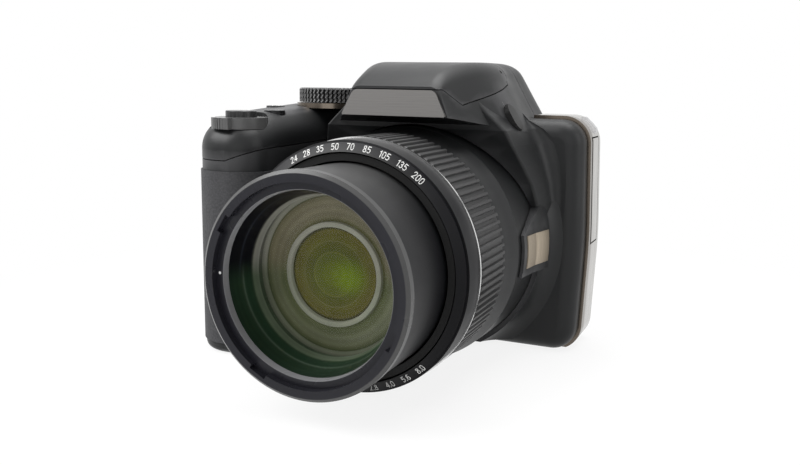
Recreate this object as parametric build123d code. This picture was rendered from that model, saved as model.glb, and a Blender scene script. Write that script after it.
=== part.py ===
"""Bridge camera: casing, zoom lens, pop-up flash, controls and insides as separate solids.

X runs to the right of someone facing the lens, Y from the lens towards the screen and Z up.
The origin is the mouth of the tripod socket. The zoom lens is at rest part way out.
"""
from build123d import *
import math
import os

# Overall body
ring_radius = 35.6        # the grip ring of the lens
ground_gap = 0.4          # how far the lens stays above the table
axis_height = ring_radius + ground_gap
hump_sink = 1.6           # how far the hump's foot lies below the top of the ring
hump_foot_z = axis_height + ring_radius - hump_sink
face_y = -10.5            # front face of the body
split_y = 2.0             # parting plane between the front and rear covers
rear_y = 14.0             # rear face of the body
body_right_out = 14.4         # widest point of the port side
body_right = ring_radius + body_right_out
side_crown = 1.4          # how far the port side bows out
side_bow_radius = 200.0
shoulder_rise = 5.5         # top of the port-side shoulder
shoulder_z = hump_foot_z + shoulder_rise
slab_left_out = 4.4         # hidden left end of the body behind the grip
slab_left = -ring_radius - slab_left_out
body_corner = 8.0
front_round = 5.5
wall = 2.0
seam = 0.3                # visible gap between covers
fit = 0.15                # clearance round a button or plug-in piece
seat = 0.05               # clearance where one piece rests on another
overrun = 150.0           # how far cutting solids run past the part

# Grip and left deck
grip_left_out = 28.7
grip_left = ring_radius + grip_left_out
grip_rear_left_out = 27.4
grip_rear_left = ring_radius + grip_rear_left_out
grip_front_y = -60.0
grip_bend_y = -25.0
grip_bend_round = 200.0
grip_inner_front_out = 5.4
grip_inner_front = ring_radius + grip_inner_front_out
grip_inner_rear_out = 0.9
grip_inner_rear = ring_radius + grip_inner_rear_out
deck_right_out = -7.6
deck_right = -ring_radius - deck_right_out
deck_front_rise = 5.2
deck_front_z = hump_foot_z + deck_front_rise
deck_rear_rise = 9.6
deck_rear_z = hump_foot_z + deck_rear_rise
deck_knee_y = -42.0
deck_knee_round = 40.0
deck_tilt = 14.0          # forward lean of the deck under the shutter button
grip_front_round = 12.0
grip_inner_round = 10.0
grip_root_round = 7.0
rear_corner_round = 5.0
deck_round = 9.0
base_round = 2.4
top_seam_rise = -8.0
top_seam_z = hump_foot_z + top_seam_rise
top_seam_knee_out = 14.4
top_seam_knee_x = -ring_radius - top_seam_knee_out
top_seam_rise_out = 2.4
top_seam_rise_x = -ring_radius - top_seam_rise_out
top_seam_mid_rise = 4.5
top_seam_end_rise = 8.5
top_seam_end_out = -4.2
top_seam_end_x = -ring_radius - top_seam_end_out
deck_back_y = 11.0        # rear edge of the top cover
rubber_thickness = 1.5
rubber_proud = 0.5
rubber_top_rise = -11.5
rubber_top_z = hump_foot_z + rubber_top_rise
rubber_bottom_z = 3.5
rubber_rear_y = -1.5
rubber_inner_out = 2.4

# Hump over the lens, lofted through stations from the front plate to the rear face
rubber_inner_x = -ring_radius - rubber_inner_out
hump_front_y = -45.0
hump_half_width = 33.0
hump_top_rise = 23.0
hump_top_z = hump_foot_z + hump_top_rise
hump_corner = 7.5
hump_station_shares = (0.0, 0.11, 0.26, 0.39, 0.6, 0.84, 1.0)
hump_foot_half_shares = (0.515, 0.635, 0.800, 0.935, 1.0, 1.02, 0.985)
hump_top_half_shares = (0.420, 0.440, 0.495, 0.560, 0.605, 0.615, 0.600)
hump_rise_shares = (0.665, 0.835, 0.945, 0.985, 1.0, 1.0, 0.94)
hump_foot_rise_shares = (0.285, 0.235, 0.165, 0.11, 0.04, 0.0, 0.0)
hump_corner_shares = (0.47, 0.76, 0.95, 1.0, 1.0, 1.0, 0.9)
cowl_front_y = -18.0
cowl_mid_y = -14.2
cowl_rear_y = -8.6
wing_rises = (-26.0, -20.0, -14.0, -8.0, -2.0, 2.6, 5.2, 8.0, 10.0, 12.0)
wing_front_half_shares = (1.073, 1.056, 1.020, 0.961, 0.896, 0.848, 0.772, 0.686, 0.630, 0.580)
wing_front_places = (-17.6, -19.1, -21.4, -24.8, -28.4, -31.0, -31.3, -31.6, -31.8, -32.0)
wing_rear_half_shares = (1.149, 1.149, 1.121, 1.073, 1.000, 0.920, 0.860, 0.780, 0.730, 0.680)
wing_flare_widths = (3.3, 3.4, 4.4, 5.6, 6.0, 3.5, 0.8, 0.8, 0.8, 0.8)
wing_edge_round = 1.2
wing_flare_share = 0.9

# Radii of the lens, each from the one outside it
ring_wall = 2.6
collar_neck_radius = ring_radius - ring_wall
neck_wall = 1.0
collar_bore = collar_neck_radius - neck_wall
collar_step = 1.4
collar_step_radius = collar_neck_radius + collar_step
collar_crease = 4.0
collar_crease_radius = collar_neck_radius + collar_crease
collar_flare = 4.4
collar_flare_radius = collar_neck_radius + collar_flare
collar_rear_flare = 4.5
collar_rear_radius = collar_neck_radius + collar_rear_flare
silver_proud = 0.05
silver_radius = ring_radius + silver_proud
bezel_step = 0.1
bezel_bore = collar_bore + bezel_step
middle_gap = 0.45
middle_radius = bezel_bore - middle_gap
middle_wall = 1.95
middle_bore = middle_radius - middle_wall
barrel_gap = 0.6
barrel_radius = middle_bore - barrel_gap
barrel_wall = 1.8
barrel_bore = barrel_radius - barrel_wall
rim_proud = 0.4
rim_radius = barrel_radius + rim_proud
rim_chamfer = 0.9
rim_face_radius = rim_radius - rim_chamfer
rim_face_width = 2.2
rim_face_inner = rim_face_radius - rim_face_width
rim_shelf_width = 2.0
rim_shelf_inner = rim_face_inner - rim_shelf_width
rim_slope_width = 0.3
rim_bore = rim_shelf_inner - rim_slope_width
cell_cone_width = 2.4
cell_glass_radius = rim_bore - cell_cone_width
inner_spacer_wall = 2.4
inner_spacer_bore = barrel_bore - inner_spacer_wall
tongue_step = 0.7
tongue_radius = collar_rear_radius + tongue_step
tongue_mid_step = 1.6
tongue_mid_radius = collar_rear_radius + tongue_mid_step
tongue_rear_step = 3.6
tongue_rear_radius = collar_rear_radius + tongue_rear_step
cowl_front_step = 1.7
cowl_front_radius = collar_rear_radius + cowl_front_step
cowl_mid_step = 3.2
cowl_mid_radius = collar_rear_radius + cowl_mid_step
cowl_rear_step = 6.8
cowl_rear_radius = collar_rear_radius + cowl_rear_step

# Lens barrel parts, as radii and places along the axis
lens_front_y = -66.0      # plane of the thin silver ring
collar_step_y = -44.0
collar_crease_y = -35.5
collar_flare_y = -20.0
collar_rear_y = -8.5
collar_hole_gap = 0.2
ring_front_gap = 0.25
rib_depth = 0.75
rib_count = 100
rib_fill_share = 0.56
rib_tip_share = 0.62
rib_lead = 1.3
silver_width = 0.6
bezel_front_y = -75.2
bezel_slope = 1.2
bezel_lip_width = 1.0
bezel_drop = 0.4          # how far the bezel stays inside the silver ring
bezel_lip_step = 0.6
middle_front_y = -74.6
middle_rear_y = -36.0
barrel_front_y = -96.1
barrel_rear_y = -50.0
rim_front_y = -99.0
rim_step_depth = 2.0
rim_edge_y = -95.0
rim_edge_round = 0.8
notch_width = 5.0
notch_depth = 1.0
notch_turns = (147.8, 241.4, 337.2)
cell_glass_y = -84.5
cell_rear_y = -82.2
cell_seat = 0.5           # step that holds the front lens
front_lens_crown = 2.4
front_lens_gap = 0.2
inner_cell_front_y = -81.1
inner_cell_thickness = 2.0
inner_lip_radius = 14.2
inner_lens_radius = 12.8
inner_lip_height = 1.2
inner_lens_crown = 0.4
lens_base_front_y = -12.0
lens_base_rear_y = -8.5
lens_base_bore = 11.0
rod_count = 3
rod_radius = 1.0
rod_circle = 24.0
iris_thickness = 2.2
iris_hole = 7.0
iris_front_y = -23.0
focus_front_y = -18.2
focus_thickness = 3.2
focus_outer = 28.5
focus_lens_radius = 9.5
focus_lens_crown = 1.2
rod_clearance = 0.05

# Front plate, badge and the tongue that carries it
plate_thickness = 1.5
plate_foot_half = 16.8
plate_top_half = 13.2
plate_foot_rise = 6.7
plate_foot_z = hump_foot_z + plate_foot_rise
plate_corner = 2.6
plate_lean = 0.8
tongue_front_y = -33.0
tongue_rear_y = -14.5
tongue_mid_y = -24.0
tongue_low_z = 29.0
tongue_high_z = 42.0
tongue_ramp_y = -16.0
tongue_ramp_z = 50.0
badge_front_y = -30.5
badge_rear_y = -15.5
badge_low_z = 31.5
badge_high_z = 41.5
badge_thickness = 0.5

# Flash lid and what it carries
well_floor_rise = 8.0
well_floor_z = hump_foot_z + well_floor_rise
well_rear_y = -7.0
bulkhead = 2.0
lid_front_y = -43.6
lid_front_rise = 14.6
lid_front_z = hump_foot_z + lid_front_rise
lid_dip_y = -38.0
lid_dip_rise = 10.2
lid_dip_z = hump_foot_z + lid_dip_rise
lid_rear_rise = 16.3
lid_rear_z = hump_foot_z + lid_rear_rise
lid_pivot_y = -10.5
lid_pivot_rise = 20.0
lid_pivot_z = hump_foot_z + lid_pivot_rise
lid_wall = 1.6
lid_heel_radius = 3.0
knuckle_radius = 1.7
knuckle_half = 11.0
hinge_pin_radius = 0.6
ear_radius = 1.05
ear_low_rise = 16.0
ear_low_z = hump_foot_z + ear_low_rise
ear_high_rise = 19.2
ear_high_z = hump_foot_z + ear_high_rise
ear_front_y = -12.4
hinge_pin_gap = 0.05
ear_width = 2.0
flash_half_width = 10.5
flash_low_y = -38.4
flash_low_rise = 9.0
flash_low_z = hump_foot_z + flash_low_rise
flash_high_y = -41.8
flash_high_rise = 14.4
flash_high_z = hump_foot_z + flash_high_rise
flash_roof_y = -36.5
flash_roof_rise = 16.8
flash_roof_z = hump_foot_z + flash_roof_rise
flash_back_y = -32.0
flash_shell = 1.2
flash_window_thickness = 1.1

# Side band, port door and lugs
band_thickness = 1.6
band_proud = 1.1
band_front_y = -3.0
band_rear_y = 11.6
band_top_out = -4.6
band_top_x = ring_radius + band_top_out
band_foot_out = 0.4
band_foot_x = ring_radius + band_foot_out
door_front_y = 0.4
door_low_z = 35.5
door_high_rise = -0.5
door_high_z = hump_foot_z + door_high_rise
door_rear_y = 8.8
door_gap = 0.45
door_front_gap = 1.2
lug_width = 7.0
lug_height = 6.0
lug_bar = 1.5
lug_depth = 2.6
lug_y = 6.0
lug_rise = -4.0
lug_z = hump_foot_z + lug_rise
port_lug_rise = 2.2
port_lug_z = hump_foot_z + port_lug_rise
port_lug_out = 10.2

# Controls on the top
port_lug_x = ring_radius + port_lug_out
shutter_out = 15.1
shutter_x = -ring_radius - shutter_out
shutter_y = -49.6
shutter_radius = 4.9
shutter_top_rise = 6.9
shutter_top_z = hump_foot_z + shutter_top_rise
shutter_cap = 2.0
shutter_stem = 2.0
shutter_stem_end_rise = -1.8
shutter_stem_end_z = hump_foot_z + shutter_stem_end_rise
lever_boss_radius = 9.6
lever_boss_low_rise = -0.7
lever_boss_low_z = hump_foot_z + lever_boss_low_rise
lever_outer = 8.2
lever_bottom_rise = 1.4
lever_bottom_z = hump_foot_z + lever_bottom_rise
lever_top_rise = 4.9
lever_top_z = hump_foot_z + lever_top_rise
lever_swing = 22.0
lever_tab_width = 7.6
lever_tab_reach = 1.6
lever_tab_thickness = 3.5
lever_knurl_count = 7
lever_knurl = 0.35
lever_turn = -13.0
button_out = 11.0
button_x = -ring_radius - button_out
button_y = -36.6
button_radius = 3.4
button_proud = 0.3
button_boss = 2.0
button_boss_wall = 1.2
button_flange = 0.5
power_out = 19.9
power_x = -ring_radius - power_out
power_y = -22.0
power_radius = 3.2
dial_out = 5.4
dial_x = -ring_radius - dial_out
dial_y = -8.0
dial_radius = 11.4
dial_low_rise = 9.2
dial_low_z = hump_foot_z + dial_low_rise
dial_high_rise = 14.0
dial_high_z = hump_foot_z + dial_high_rise
dial_knurl_count = 48
dial_knurl = 0.35
dial_cap_drop = 0.5
dial_seat_radius = 12.2
dial_seat_low_rise = 7.2
dial_seat_low_z = hump_foot_z + dial_seat_low_rise
dial_shaft_radius = 2.5
dial_shaft_end_rise = 5.2
dial_shaft_end_z = hump_foot_z + dial_shaft_end_rise
press_travel = 0.8
flash_button_x = 29.6
flash_button_y = -20.0
flash_button_rise = 6.4
flash_button_z = hump_foot_z + flash_button_rise
flash_button_length = 9.0
flash_button_width = 6.6
flash_button_tilt = 31.0
flash_button_depth = 5.0
flash_button_proud = 0.3

# Rear face
screen_x = 12.0
screen_z = 34.5
screen_width = 68.0
screen_height = 53.0
screen_glass = 1.3
screen_panel_thickness = 2.8
screen_panel_border = 2.5
eyepiece_rise = 11.5
eyepiece_z = hump_foot_z + eyepiece_rise
eyecup_half_width = 15.0
eyecup_half_height = 9.0
eyecup_depth = 8.5
eyecup_wall = 2.2
eyecup_corner = 5.0
eye_lens_half_width = 8.0
eye_lens_half_height = 5.6
eye_lens_thickness = 1.6
finder_front_y = -5.0
finder_wall = 1.4
dioptre_x = -20.0
dioptre_rise = 7.0
dioptre_z = hump_foot_z + dioptre_rise
dioptre_radius = 4.0
dioptre_proud = 1.8
dioptre_knurl_count = 20
pad_out = 5.9
pad_x = -ring_radius - pad_out
pad_z = 36.0
pad_radius = 10.0
set_radius = 4.2
pad_proud = 1.2
menu_out = 12.4
menu_x = -ring_radius - menu_out
play_out = -0.6
play_x = -ring_radius - play_out
low_button_z = 18.0
low_button_radius = 3.4
video_out = -6.1
video_x = -ring_radius - video_out
video_rise = -3.5
video_z = hump_foot_z + video_rise
video_radius = 3.2
cap_proud = 0.8
cap_flange = 0.8
thumb_out = 14.4
thumb_x = -ring_radius - thumb_out
thumb_rise = -10.5
thumb_z = hump_foot_z + thumb_rise
thumb_width = 15.0
thumb_height = 22.0
thumb_proud = 1.4
thumb_corner = 4.0

# Insides
socket_x = 0.0
socket_outer = 5.0
socket_hole = 2.58        # minor diameter of a quarter-inch tripod thread, halved
socket_length = 6.0
socket_flange = 6.5
socket_flange_z = 4.6
chassis_front_y = -8.45
chassis_thickness = 1.3
chassis_left = -33.0
chassis_right_out = 7.8
chassis_right = ring_radius + chassis_right_out
chassis_low_z = 8.6
chassis_high_rise = -4.0
chassis_high_z = hump_foot_z + chassis_high_rise
sensor_half = 5.5
sensor_thickness = 1.6
board_thickness = 1.4
main_board_left = 17.0
main_board_right_out = 7.4
main_board_right = ring_radius + main_board_right_out
main_board_low_z = 20.0
main_board_high_rise = -6.0
main_board_high_z = hump_foot_z + main_board_high_rise
motor_radius = 4.2
motor_length = 10.0
motor_x = 24.0
motor_z = 12.5
motor_post = 1.4
motor_post_reach = 6.4
motor_flange = 1.0
gear_teeth = 16
gear_radius = 4.6
gear_tooth = 0.9
gear_thickness = 2.4
gear_shaft = 0.8
battery_width = 12.0
battery_length = 36.0
battery_height = 44.0
battery_out = 18.4
battery_x = -ring_radius - battery_out
battery_y = -32.0
battery_low_z = 2.4
box_wall = 1.2
box_gap = 0.3
sockets_left_out = 4.2
sockets_left = ring_radius + sockets_left_out
sockets_right_out = 9.8
sockets_right = ring_radius + sockets_right_out
sockets_rear_y = 8.2
sockets_low_z = 38.0
sockets_high_rise = -8.0
sockets_high_z = hump_foot_z + sockets_high_rise
port_slot_front_y = 3.4
port_slot_rear_y = 7.2
port_slot_depth = 5.5
port_slot_starts = (40.5, 52.5)
port_slot_height = 8.0
lamp_out = -1.8
lamp_x = -ring_radius - lamp_out
lamp_rise = 1.6
lamp_z = hump_foot_z + lamp_rise
lamp_radius = 2.2
lamp_collar = 1.0
lamp_recess = 0.9
battery_door_thickness = 2.0
battery_door_gap = 0.3
battery_door_left_out = 25.9
battery_door_left = -ring_radius - battery_door_left_out
battery_door_right_out = 8.4
battery_door_right = -ring_radius - battery_door_right_out
battery_door_front = -52.0
battery_door_rear = -12.0
screw_radius = 1.5
screw_length = 4.0
screw_sink = 0.2
screw_slot = 0.5
screw_left_x = -30.0
screw_middle_x = 22.0
screw_right_x = 33.0
screw_y = -3.0
side_screw_radius = 0.8
side_screw_length = 3.0
side_screw_y = 10.3
side_screw_z_low = 12.0
side_screw_z_high = 64.0


def block(low, high):
    """A box between two opposite corners."""
    size = [high[i] - low[i] for i in range(3)]
    middle = [(high[i] + low[i]) / 2 for i in range(3)]
    return Pos(*middle) * Box(*size)


def front_plane(y):
    """A sketch plane across the lens axis, seen from the front, at a place along Y."""
    return Plane(origin=(0, y, 0), x_dir=(1, 0, 0), z_dir=(0, -1, 0))


def turned(profile):
    """A solid turned about the lens axis from (radius, y) points."""
    face = make_face(Polyline(*profile, close=True))
    return Pos(0, 0, axis_height) * revolve(face, Axis.Y, 360)


def disc(radius, start, length, direction):
    """A cylinder from a start point along a direction."""
    return extrude(Plane(origin=start, z_dir=direction) * Circle(radius), amount=length)


def washer(outer, inner, start, length, direction):
    """A cylinder with a bore."""
    plane = Plane(origin=start, z_dir=direction)
    return extrude(plane * (Circle(outer) - Circle(inner)), amount=length)


def side_prism(points, left, right):
    """A prism from (y, z) points that runs from left to right along X."""
    plane = Plane(origin=(left, 0, 0), x_dir=(0, 1, 0), z_dir=(1, 0, 0))
    return extrude(plane * make_face(Polyline(*points, close=True)), amount=right - left)


def rounded(points, rounds):
    """A closed outline of straight runs whose corners are arcs of the given radii."""
    corners = [Vector(*point) for point in points]
    starts, ends, arcs = [], [], []
    for i, (corner, radius) in enumerate(zip(corners, rounds)):
        before = (corners[i - 1] - corner).normalized()
        after = (corners[(i + 1) % len(corners)] - corner).normalized()
        half = math.radians(before.get_angle(after)) / 2
        reach = radius / math.tan(half)
        starts.append(corner + before * reach)
        ends.append(corner + after * reach)
        if radius > 0:
            inward = (before + after).normalized()
            middle = corner + inward * (radius / math.sin(half) - radius)
            arcs.append(ThreePointArc(starts[-1], middle, ends[-1]))
    runs = [Line(ends[i - 1], starts[i]) for i in range(len(corners))]
    return make_face(Curve() + runs + arcs)


def front_prism(points, front, rear):
    """A prism from (x, z) points that runs from front to rear along Y."""
    return extrude(front_plane(rear) * make_face(Polyline(*points, close=True)), amount=rear - front)


def slab(inset):
    """The body beside the grip: a front-view outline with bowed port side, run back."""
    low, top, right = inset, shoulder_z - inset, body_right - inset
    foot = right - side_crown
    points = [(slab_left, low), (foot, low), (right, axis_height), (foot, top), (slab_left, top)]
    corner = body_corner - inset
    face = rounded(points, (0, corner, side_bow_radius, corner, 0))
    solid = extrude(front_plane(rear_y - inset) * face, amount=rear_y - face_y - 2 * inset)
    shown = lambda e: e.center().X > slab_left + wall
    front_edges = solid.faces().sort_by(Axis.Y)[0].edges().filter_by(shown)
    solid = fillet(front_edges, front_round - inset)
    rear_edges = solid.faces().sort_by(Axis.Y)[-1].edges().filter_by(shown)
    return fillet(rear_edges, base_round - inset / 2)


def grip_face(inset):
    """The plan outline of the grip and the deck behind it."""
    points = [
        (deck_right, rear_y - inset),
        (-grip_rear_left + inset, rear_y - inset),
        (-grip_left + inset, grip_bend_y),
        (-grip_left + inset, grip_front_y + inset),
        (-grip_inner_front - inset, grip_front_y + inset),
        (-grip_inner_rear - inset, face_y + inset),
        (deck_right, face_y + inset),
    ]
    rounds = (0, rear_corner_round - inset, grip_bend_round, grip_front_round - inset,
              grip_inner_round - inset, grip_root_round + inset, 0)
    return rounded(points, rounds)


def grip_column(inset):
    """The grip outline run straight up."""
    return extrude(grip_face(inset), amount=overrun)


def deck_drop():
    """How far the deck falls between its knee and the front of the grip."""
    return (deck_knee_y - grip_front_y) * math.tan(math.radians(deck_tilt))


def left_block(inset):
    """The grip and left deck: a plan outline run up to a deck that falls towards the front."""
    solid = extrude(Pos(0, 0, inset) * grip_face(inset), amount=overrun)
    deck = [
        (grip_front_y - inset, inset),
        (rear_y + inset, inset),
        (rear_y + inset, deck_rear_z - inset),
        (deck_knee_y, deck_z(deck_knee_y) - inset),
        (grip_front_y - inset, deck_z(deck_knee_y) - deck_drop() - inset),
    ]
    far = max(abs(inset), wall)
    solid = solid & side_prism(deck, -grip_left - far, deck_right + far)
    inside = lambda e: e.center().X < deck_right - wall and e.center().Y < rear_y - 2 * wall
    across = lambda e: abs(e.center().Y - deck_knee_y) < seam and e.length > 2 * deck_round
    decks = solid.faces().filter_by(lambda face: face.normal_at().Z > 1 / 2)
    knee = [e for face in decks for e in face.edges() if across(e)]
    solid = fillet(knee[0], deck_knee_round)
    decks = solid.faces().filter_by(lambda face: face.normal_at().Z > 1 / 2)
    shared = lambda e: sum(e.is_same(other) for face in decks for other in face.edges()) > 1
    top_edges = [e for face in decks for e in face.edges() if inside(e) and not shared(e)]
    solid = fillet(top_edges, deck_round - inset)
    low_edges = solid.faces().sort_by(Axis.Z)[0].edges()
    return fillet(low_edges.filter_by(inside), base_round - inset / 2)


def hump_station(index, inset):
    """One cross-section of the hump."""
    rise = hump_top_z - hump_foot_z
    depth = rear_y - hump_front_y - 2 * inset
    y = hump_front_y + inset + depth * hump_station_shares[index]
    foot_z = hump_foot_z + rise * hump_foot_rise_shares[index]
    top_z = hump_foot_z + rise * hump_rise_shares[index] - inset
    foot = hump_half_width * hump_foot_half_shares[index] - inset
    top = hump_half_width * hump_top_half_shares[index] - inset
    shape = Polyline((-foot, foot_z), (foot, foot_z), (top, top_z), (-top, top_z), close=True)
    face = make_face(shape)
    corners = face.vertices().sort_by(Axis.Y)[-2:]
    face = fillet(corners, hump_corner * hump_corner_shares[index] - inset / 2)
    return front_plane(y) * face


def hump(inset):
    """The hump that holds the flash and the viewfinder."""
    return loft([hump_station(i, inset) for i in range(len(hump_station_shares))])


def cowl():
    """The shroud that the casing makes round the lens, flared where it meets the body."""
    flare = ThreePointArc((cowl_front_radius, cowl_front_y), (cowl_mid_radius, cowl_mid_y),
                          (cowl_rear_radius, face_y))
    rest = Polyline((cowl_rear_radius, face_y), (cowl_rear_radius, cowl_rear_y), (0, cowl_rear_y),
                    (0, cowl_front_y), (cowl_front_radius, cowl_front_y))
    flared = Pos(0, 0, axis_height) * revolve(make_face(flare + rest), Axis.Y, 360)
    above = block((-overrun, -overrun, base_round), (overrun, overrun, overrun))
    return (flared & above) + wings()


def wing_section(index):
    """A level cut through the two wings that join the hump to the shroud."""
    front_half, front = ring_radius * wing_front_half_shares[index], wing_front_places[index]
    rear_half, flare = ring_radius * wing_rear_half_shares[index], wing_flare_widths[index]
    end = rear_half + flare
    right = [(end, cowl_rear_y), (end, face_y), (rear_half, face_y), (front_half, front)]
    left = [(-x, y) for x, y in reversed(right)]
    round_here = (0, 0, flare * wing_flare_share, wing_edge_round)
    face = rounded(right + left, round_here + round_here[::-1])
    return Pos(0, 0, hump_foot_z + wing_rises[index]) * face


def wings():
    """The wings of the casing that run from the hump down both sides of the lens."""
    return loft([wing_section(i) for i in range(len(wing_rises))], ruled=True)


def top_zone(gap):
    """The space that belongs to the top cover, above its slanted seam."""
    points = [
        (-overrun, top_seam_z + gap),
        (top_seam_knee_x, top_seam_z + gap),
        (top_seam_rise_x, top_seam_z + top_seam_mid_rise + gap),
        (top_seam_end_x - gap, top_seam_z + top_seam_end_rise + gap),
        (top_seam_end_x - gap, overrun),
        (-overrun, overrun),
    ]
    return front_prism(points, -overrun, deck_back_y - gap)


def lid_zone(gap):
    """The space that belongs to the flash lid, with its round heel at the hinge."""
    points = [
        (-overrun, lid_front_z - gap),
        (lid_front_y, lid_front_z - gap),
        (lid_dip_y, lid_dip_z - gap),
        (lid_pivot_y + gap, lid_rear_z - gap),
        (lid_pivot_y + gap, overrun),
        (-overrun, overrun),
    ]
    heel = lid_cylinder(lid_heel_radius + gap, hump_half_width)
    return side_prism(points, -hump_half_width, hump_half_width) + heel


def lid_cylinder(radius, half_length):
    """A cylinder about the flash lid's hinge line."""
    start = (-half_length, lid_pivot_y, lid_pivot_z)
    return disc(radius, start, 2 * half_length, (1, 0, 0))


def band_zone(gap):
    """The space that belongs to the side band: the port side and shoulder."""
    front, rear = band_front_y - gap, band_rear_y + gap
    upper = block((band_top_x - gap, front, axis_height), (overrun, rear, overrun))
    lower = block((band_foot_x - gap, front, -overrun), (overrun, rear, axis_height))
    return upper + lower


def casing_shell():
    """The whole casing as one hollow skin, before it is parted into covers."""
    outer = slab(0) + left_block(0) + cowl() + hump(0)
    finder_room = block((-overrun, well_rear_y + bulkhead, 0), (overrun, overrun, overrun))
    well_room = block((-overrun, -overrun, well_floor_z), (overrun, well_rear_y, overrun))
    hollow = hump(wall)
    shell = outer - slab(wall) - left_block(wall) - (hollow & finder_room)
    shell = shell - (hollow & well_room)
    return shell - lens_hole()


def lens_hole():
    """The round way that the lens takes through the casing."""
    length = overrun + face_y + wall
    return disc(collar_rear_radius + collar_hole_gap, (0, -overrun, axis_height), length, (0, 1, 0))


def deck_z(y):
    """Height of the sloping deck at a place along Y."""
    share = (y - grip_front_y) / (rear_y - grip_front_y)
    return deck_front_z + (deck_rear_z - deck_front_z) * share


def upright(radius, x, y, low_z, high_z):
    """A vertical cylinder."""
    return disc(radius, (x, y, low_z), high_z - low_z, (0, 0, 1))


def rear_disc(radius, x, z, front, rear):
    """A cylinder that runs back from the front place to the rear place."""
    return disc(radius, (x, front, z), rear - front, (0, 1, 0))


def tongue_blank(offset, front, rear):
    """The flared surface of the tongue, moved out by an offset, as a solid of revolution."""
    return turned([(0, front), (tongue_radius + offset, front), (tongue_mid_radius + offset, tongue_mid_y),
                   (tongue_rear_radius + offset, rear), (0, rear)])


def tongue():
    """The step of the casing along the lens that carries the badge plate."""
    profile = [(tongue_front_y, tongue_low_z), (tongue_front_y, tongue_high_z),
               (tongue_ramp_y, tongue_ramp_z), (tongue_rear_y, tongue_ramp_z),
               (tongue_rear_y, tongue_low_z)]
    shape = tongue_blank(0, tongue_front_y, tongue_rear_y)
    return shape & side_prism(profile, 0, tongue_rear_radius)


def collar_profile(gap):
    """The stepped outside of the lens collar as (radius, y) points."""
    return [
        (0, lens_front_y - gap),
        (collar_neck_radius + gap, lens_front_y - gap),
        (collar_neck_radius + gap, collar_step_y - gap),
        (collar_step_radius + gap, collar_step_y - gap),
        (collar_crease_radius + gap, collar_crease_y),
        (collar_flare_radius + gap, collar_flare_y),
        (collar_rear_radius + gap, cowl_front_y),
        (collar_rear_radius + gap, collar_rear_y),
        (0, collar_rear_y),
    ]


def front_cover(shell):
    """The front casing with the hump front, the flash well and the grip core."""
    cover = shell & block((-overrun, -overrun, -overrun), (overrun, split_y, overrun))
    cover = cover - top_zone(-seam) - lid_zone(seam) - band_zone(seam)
    cover = cover + (tongue() - turned(collar_profile(collar_hole_gap)))
    cover = cover - badge_plate() - grip_rubber()
    cover = cover - flash_oval(fit, flash_button_depth, flash_button_depth + press_travel + seat)
    cover = cover + hinge_ears()
    cover = cover - battery_door_space(battery_door_gap)
    for x in (screw_left_x, screw_middle_x, screw_right_x):
        cover = cover - upright(screw_radius + seat, x, screw_y, -wall, 2 * wall)
    cover = cover - lamp_hole() - dial_pocket()
    return cover - upright(socket_outer + seat, 0, 0, -wall, 2 * wall)


def top_cover():
    """The grip top and left deck with the seats of its controls."""
    cover = (left_block(0) - left_block(wall)) & top_zone(0)
    boss = upright(lever_boss_radius, shutter_x, shutter_y, lever_boss_low_z, deck_front_z)
    cover = cover + (boss & left_block(seat)) + deck_boss(button_radius, button_x, button_y)
    cover = cover + deck_boss(power_radius, power_x, power_y) - hump(-seam) - lever_space()
    cover = cover - upright(shutter_stem + fit, shutter_x, shutter_y, 0, overrun)
    cover = cover - upright(button_radius + fit, button_x, button_y, axis_height, overrun)
    cover = cover - upright(power_radius + fit, power_x, power_y, axis_height, overrun)
    cover = cover - dial_pocket()
    cover = cover - upright(dial_shaft_radius + fit, dial_x, dial_y, axis_height, overrun)
    return cover - lamp_hole()


def dial_pocket():
    """The shallow round pocket under the mode dial."""
    return upright(dial_seat_radius + seat, dial_x, dial_y, dial_seat_low_z, overrun)


def lamp_hole():
    """The round hole for the focus-assist lamp."""
    return rear_disc(lamp_radius + lamp_collar + seat, lamp_x, lamp_z, face_y - wall, 0)


def rear_cover(shell):
    """The rear casing with the openings for the screen, the eyepiece and the buttons."""
    cover = shell & block((-overrun, split_y + seam, -overrun), (overrun, overrun, overrun))
    cover = cover - top_zone(-seam) - band_zone(seam)
    screen = block((screen_x - screen_width / 2, 0, screen_z - screen_height / 2),
                   (screen_x + screen_width / 2, overrun, screen_z + screen_height / 2))
    cover = cover - screen - finder_block(fit, 0)
    for x, z, radius in rear_buttons():
        cover = cover - rear_disc(radius + fit, x, z, 0, overrun)
    cover = cover - rear_disc(dioptre_radius + fit, dioptre_x, dioptre_z, 0, overrun)
    return cover - upright(socket_outer + seat, 0, 0, -wall, 2 * wall)


def band_skin():
    """The silver skin over the port side and shoulder, before the port door is parted off."""
    band = (slab(-band_proud) - slab(band_thickness)) & band_zone(0)
    above = block((-overrun, -overrun, 0), (overrun, overrun, overrun))
    return (band & above) - hump(-seam)


def side_band():
    """The silver band, open where the port door sits."""
    band = band_skin() - door_space(door_gap, door_front_gap)
    for screw in side_screws():
        band = band - screw
    return band


def port_door():
    """The flap over the sockets, which swings on its rear edge."""
    return band_skin() & door_space(0, 0)


def port_sockets():
    """The socket block behind the port door, with two slots."""
    front = chassis_front_y + chassis_thickness + board_thickness
    body = block((sockets_left, front, sockets_low_z), (sockets_right, sockets_rear_y, sockets_high_z))
    for low in port_slot_starts:
        body = body - block((sockets_right - port_slot_depth, port_slot_front_y, low),
                            (overrun, port_slot_rear_y, low + port_slot_height))
    return body


def door_space(gap, front_gap):
    """The space of the port door in the side band, with more room at its free edge."""
    return block((axis_height, door_front_y - front_gap, door_low_z - gap),
                 (overrun, door_rear_y + gap, door_high_z + gap))


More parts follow.
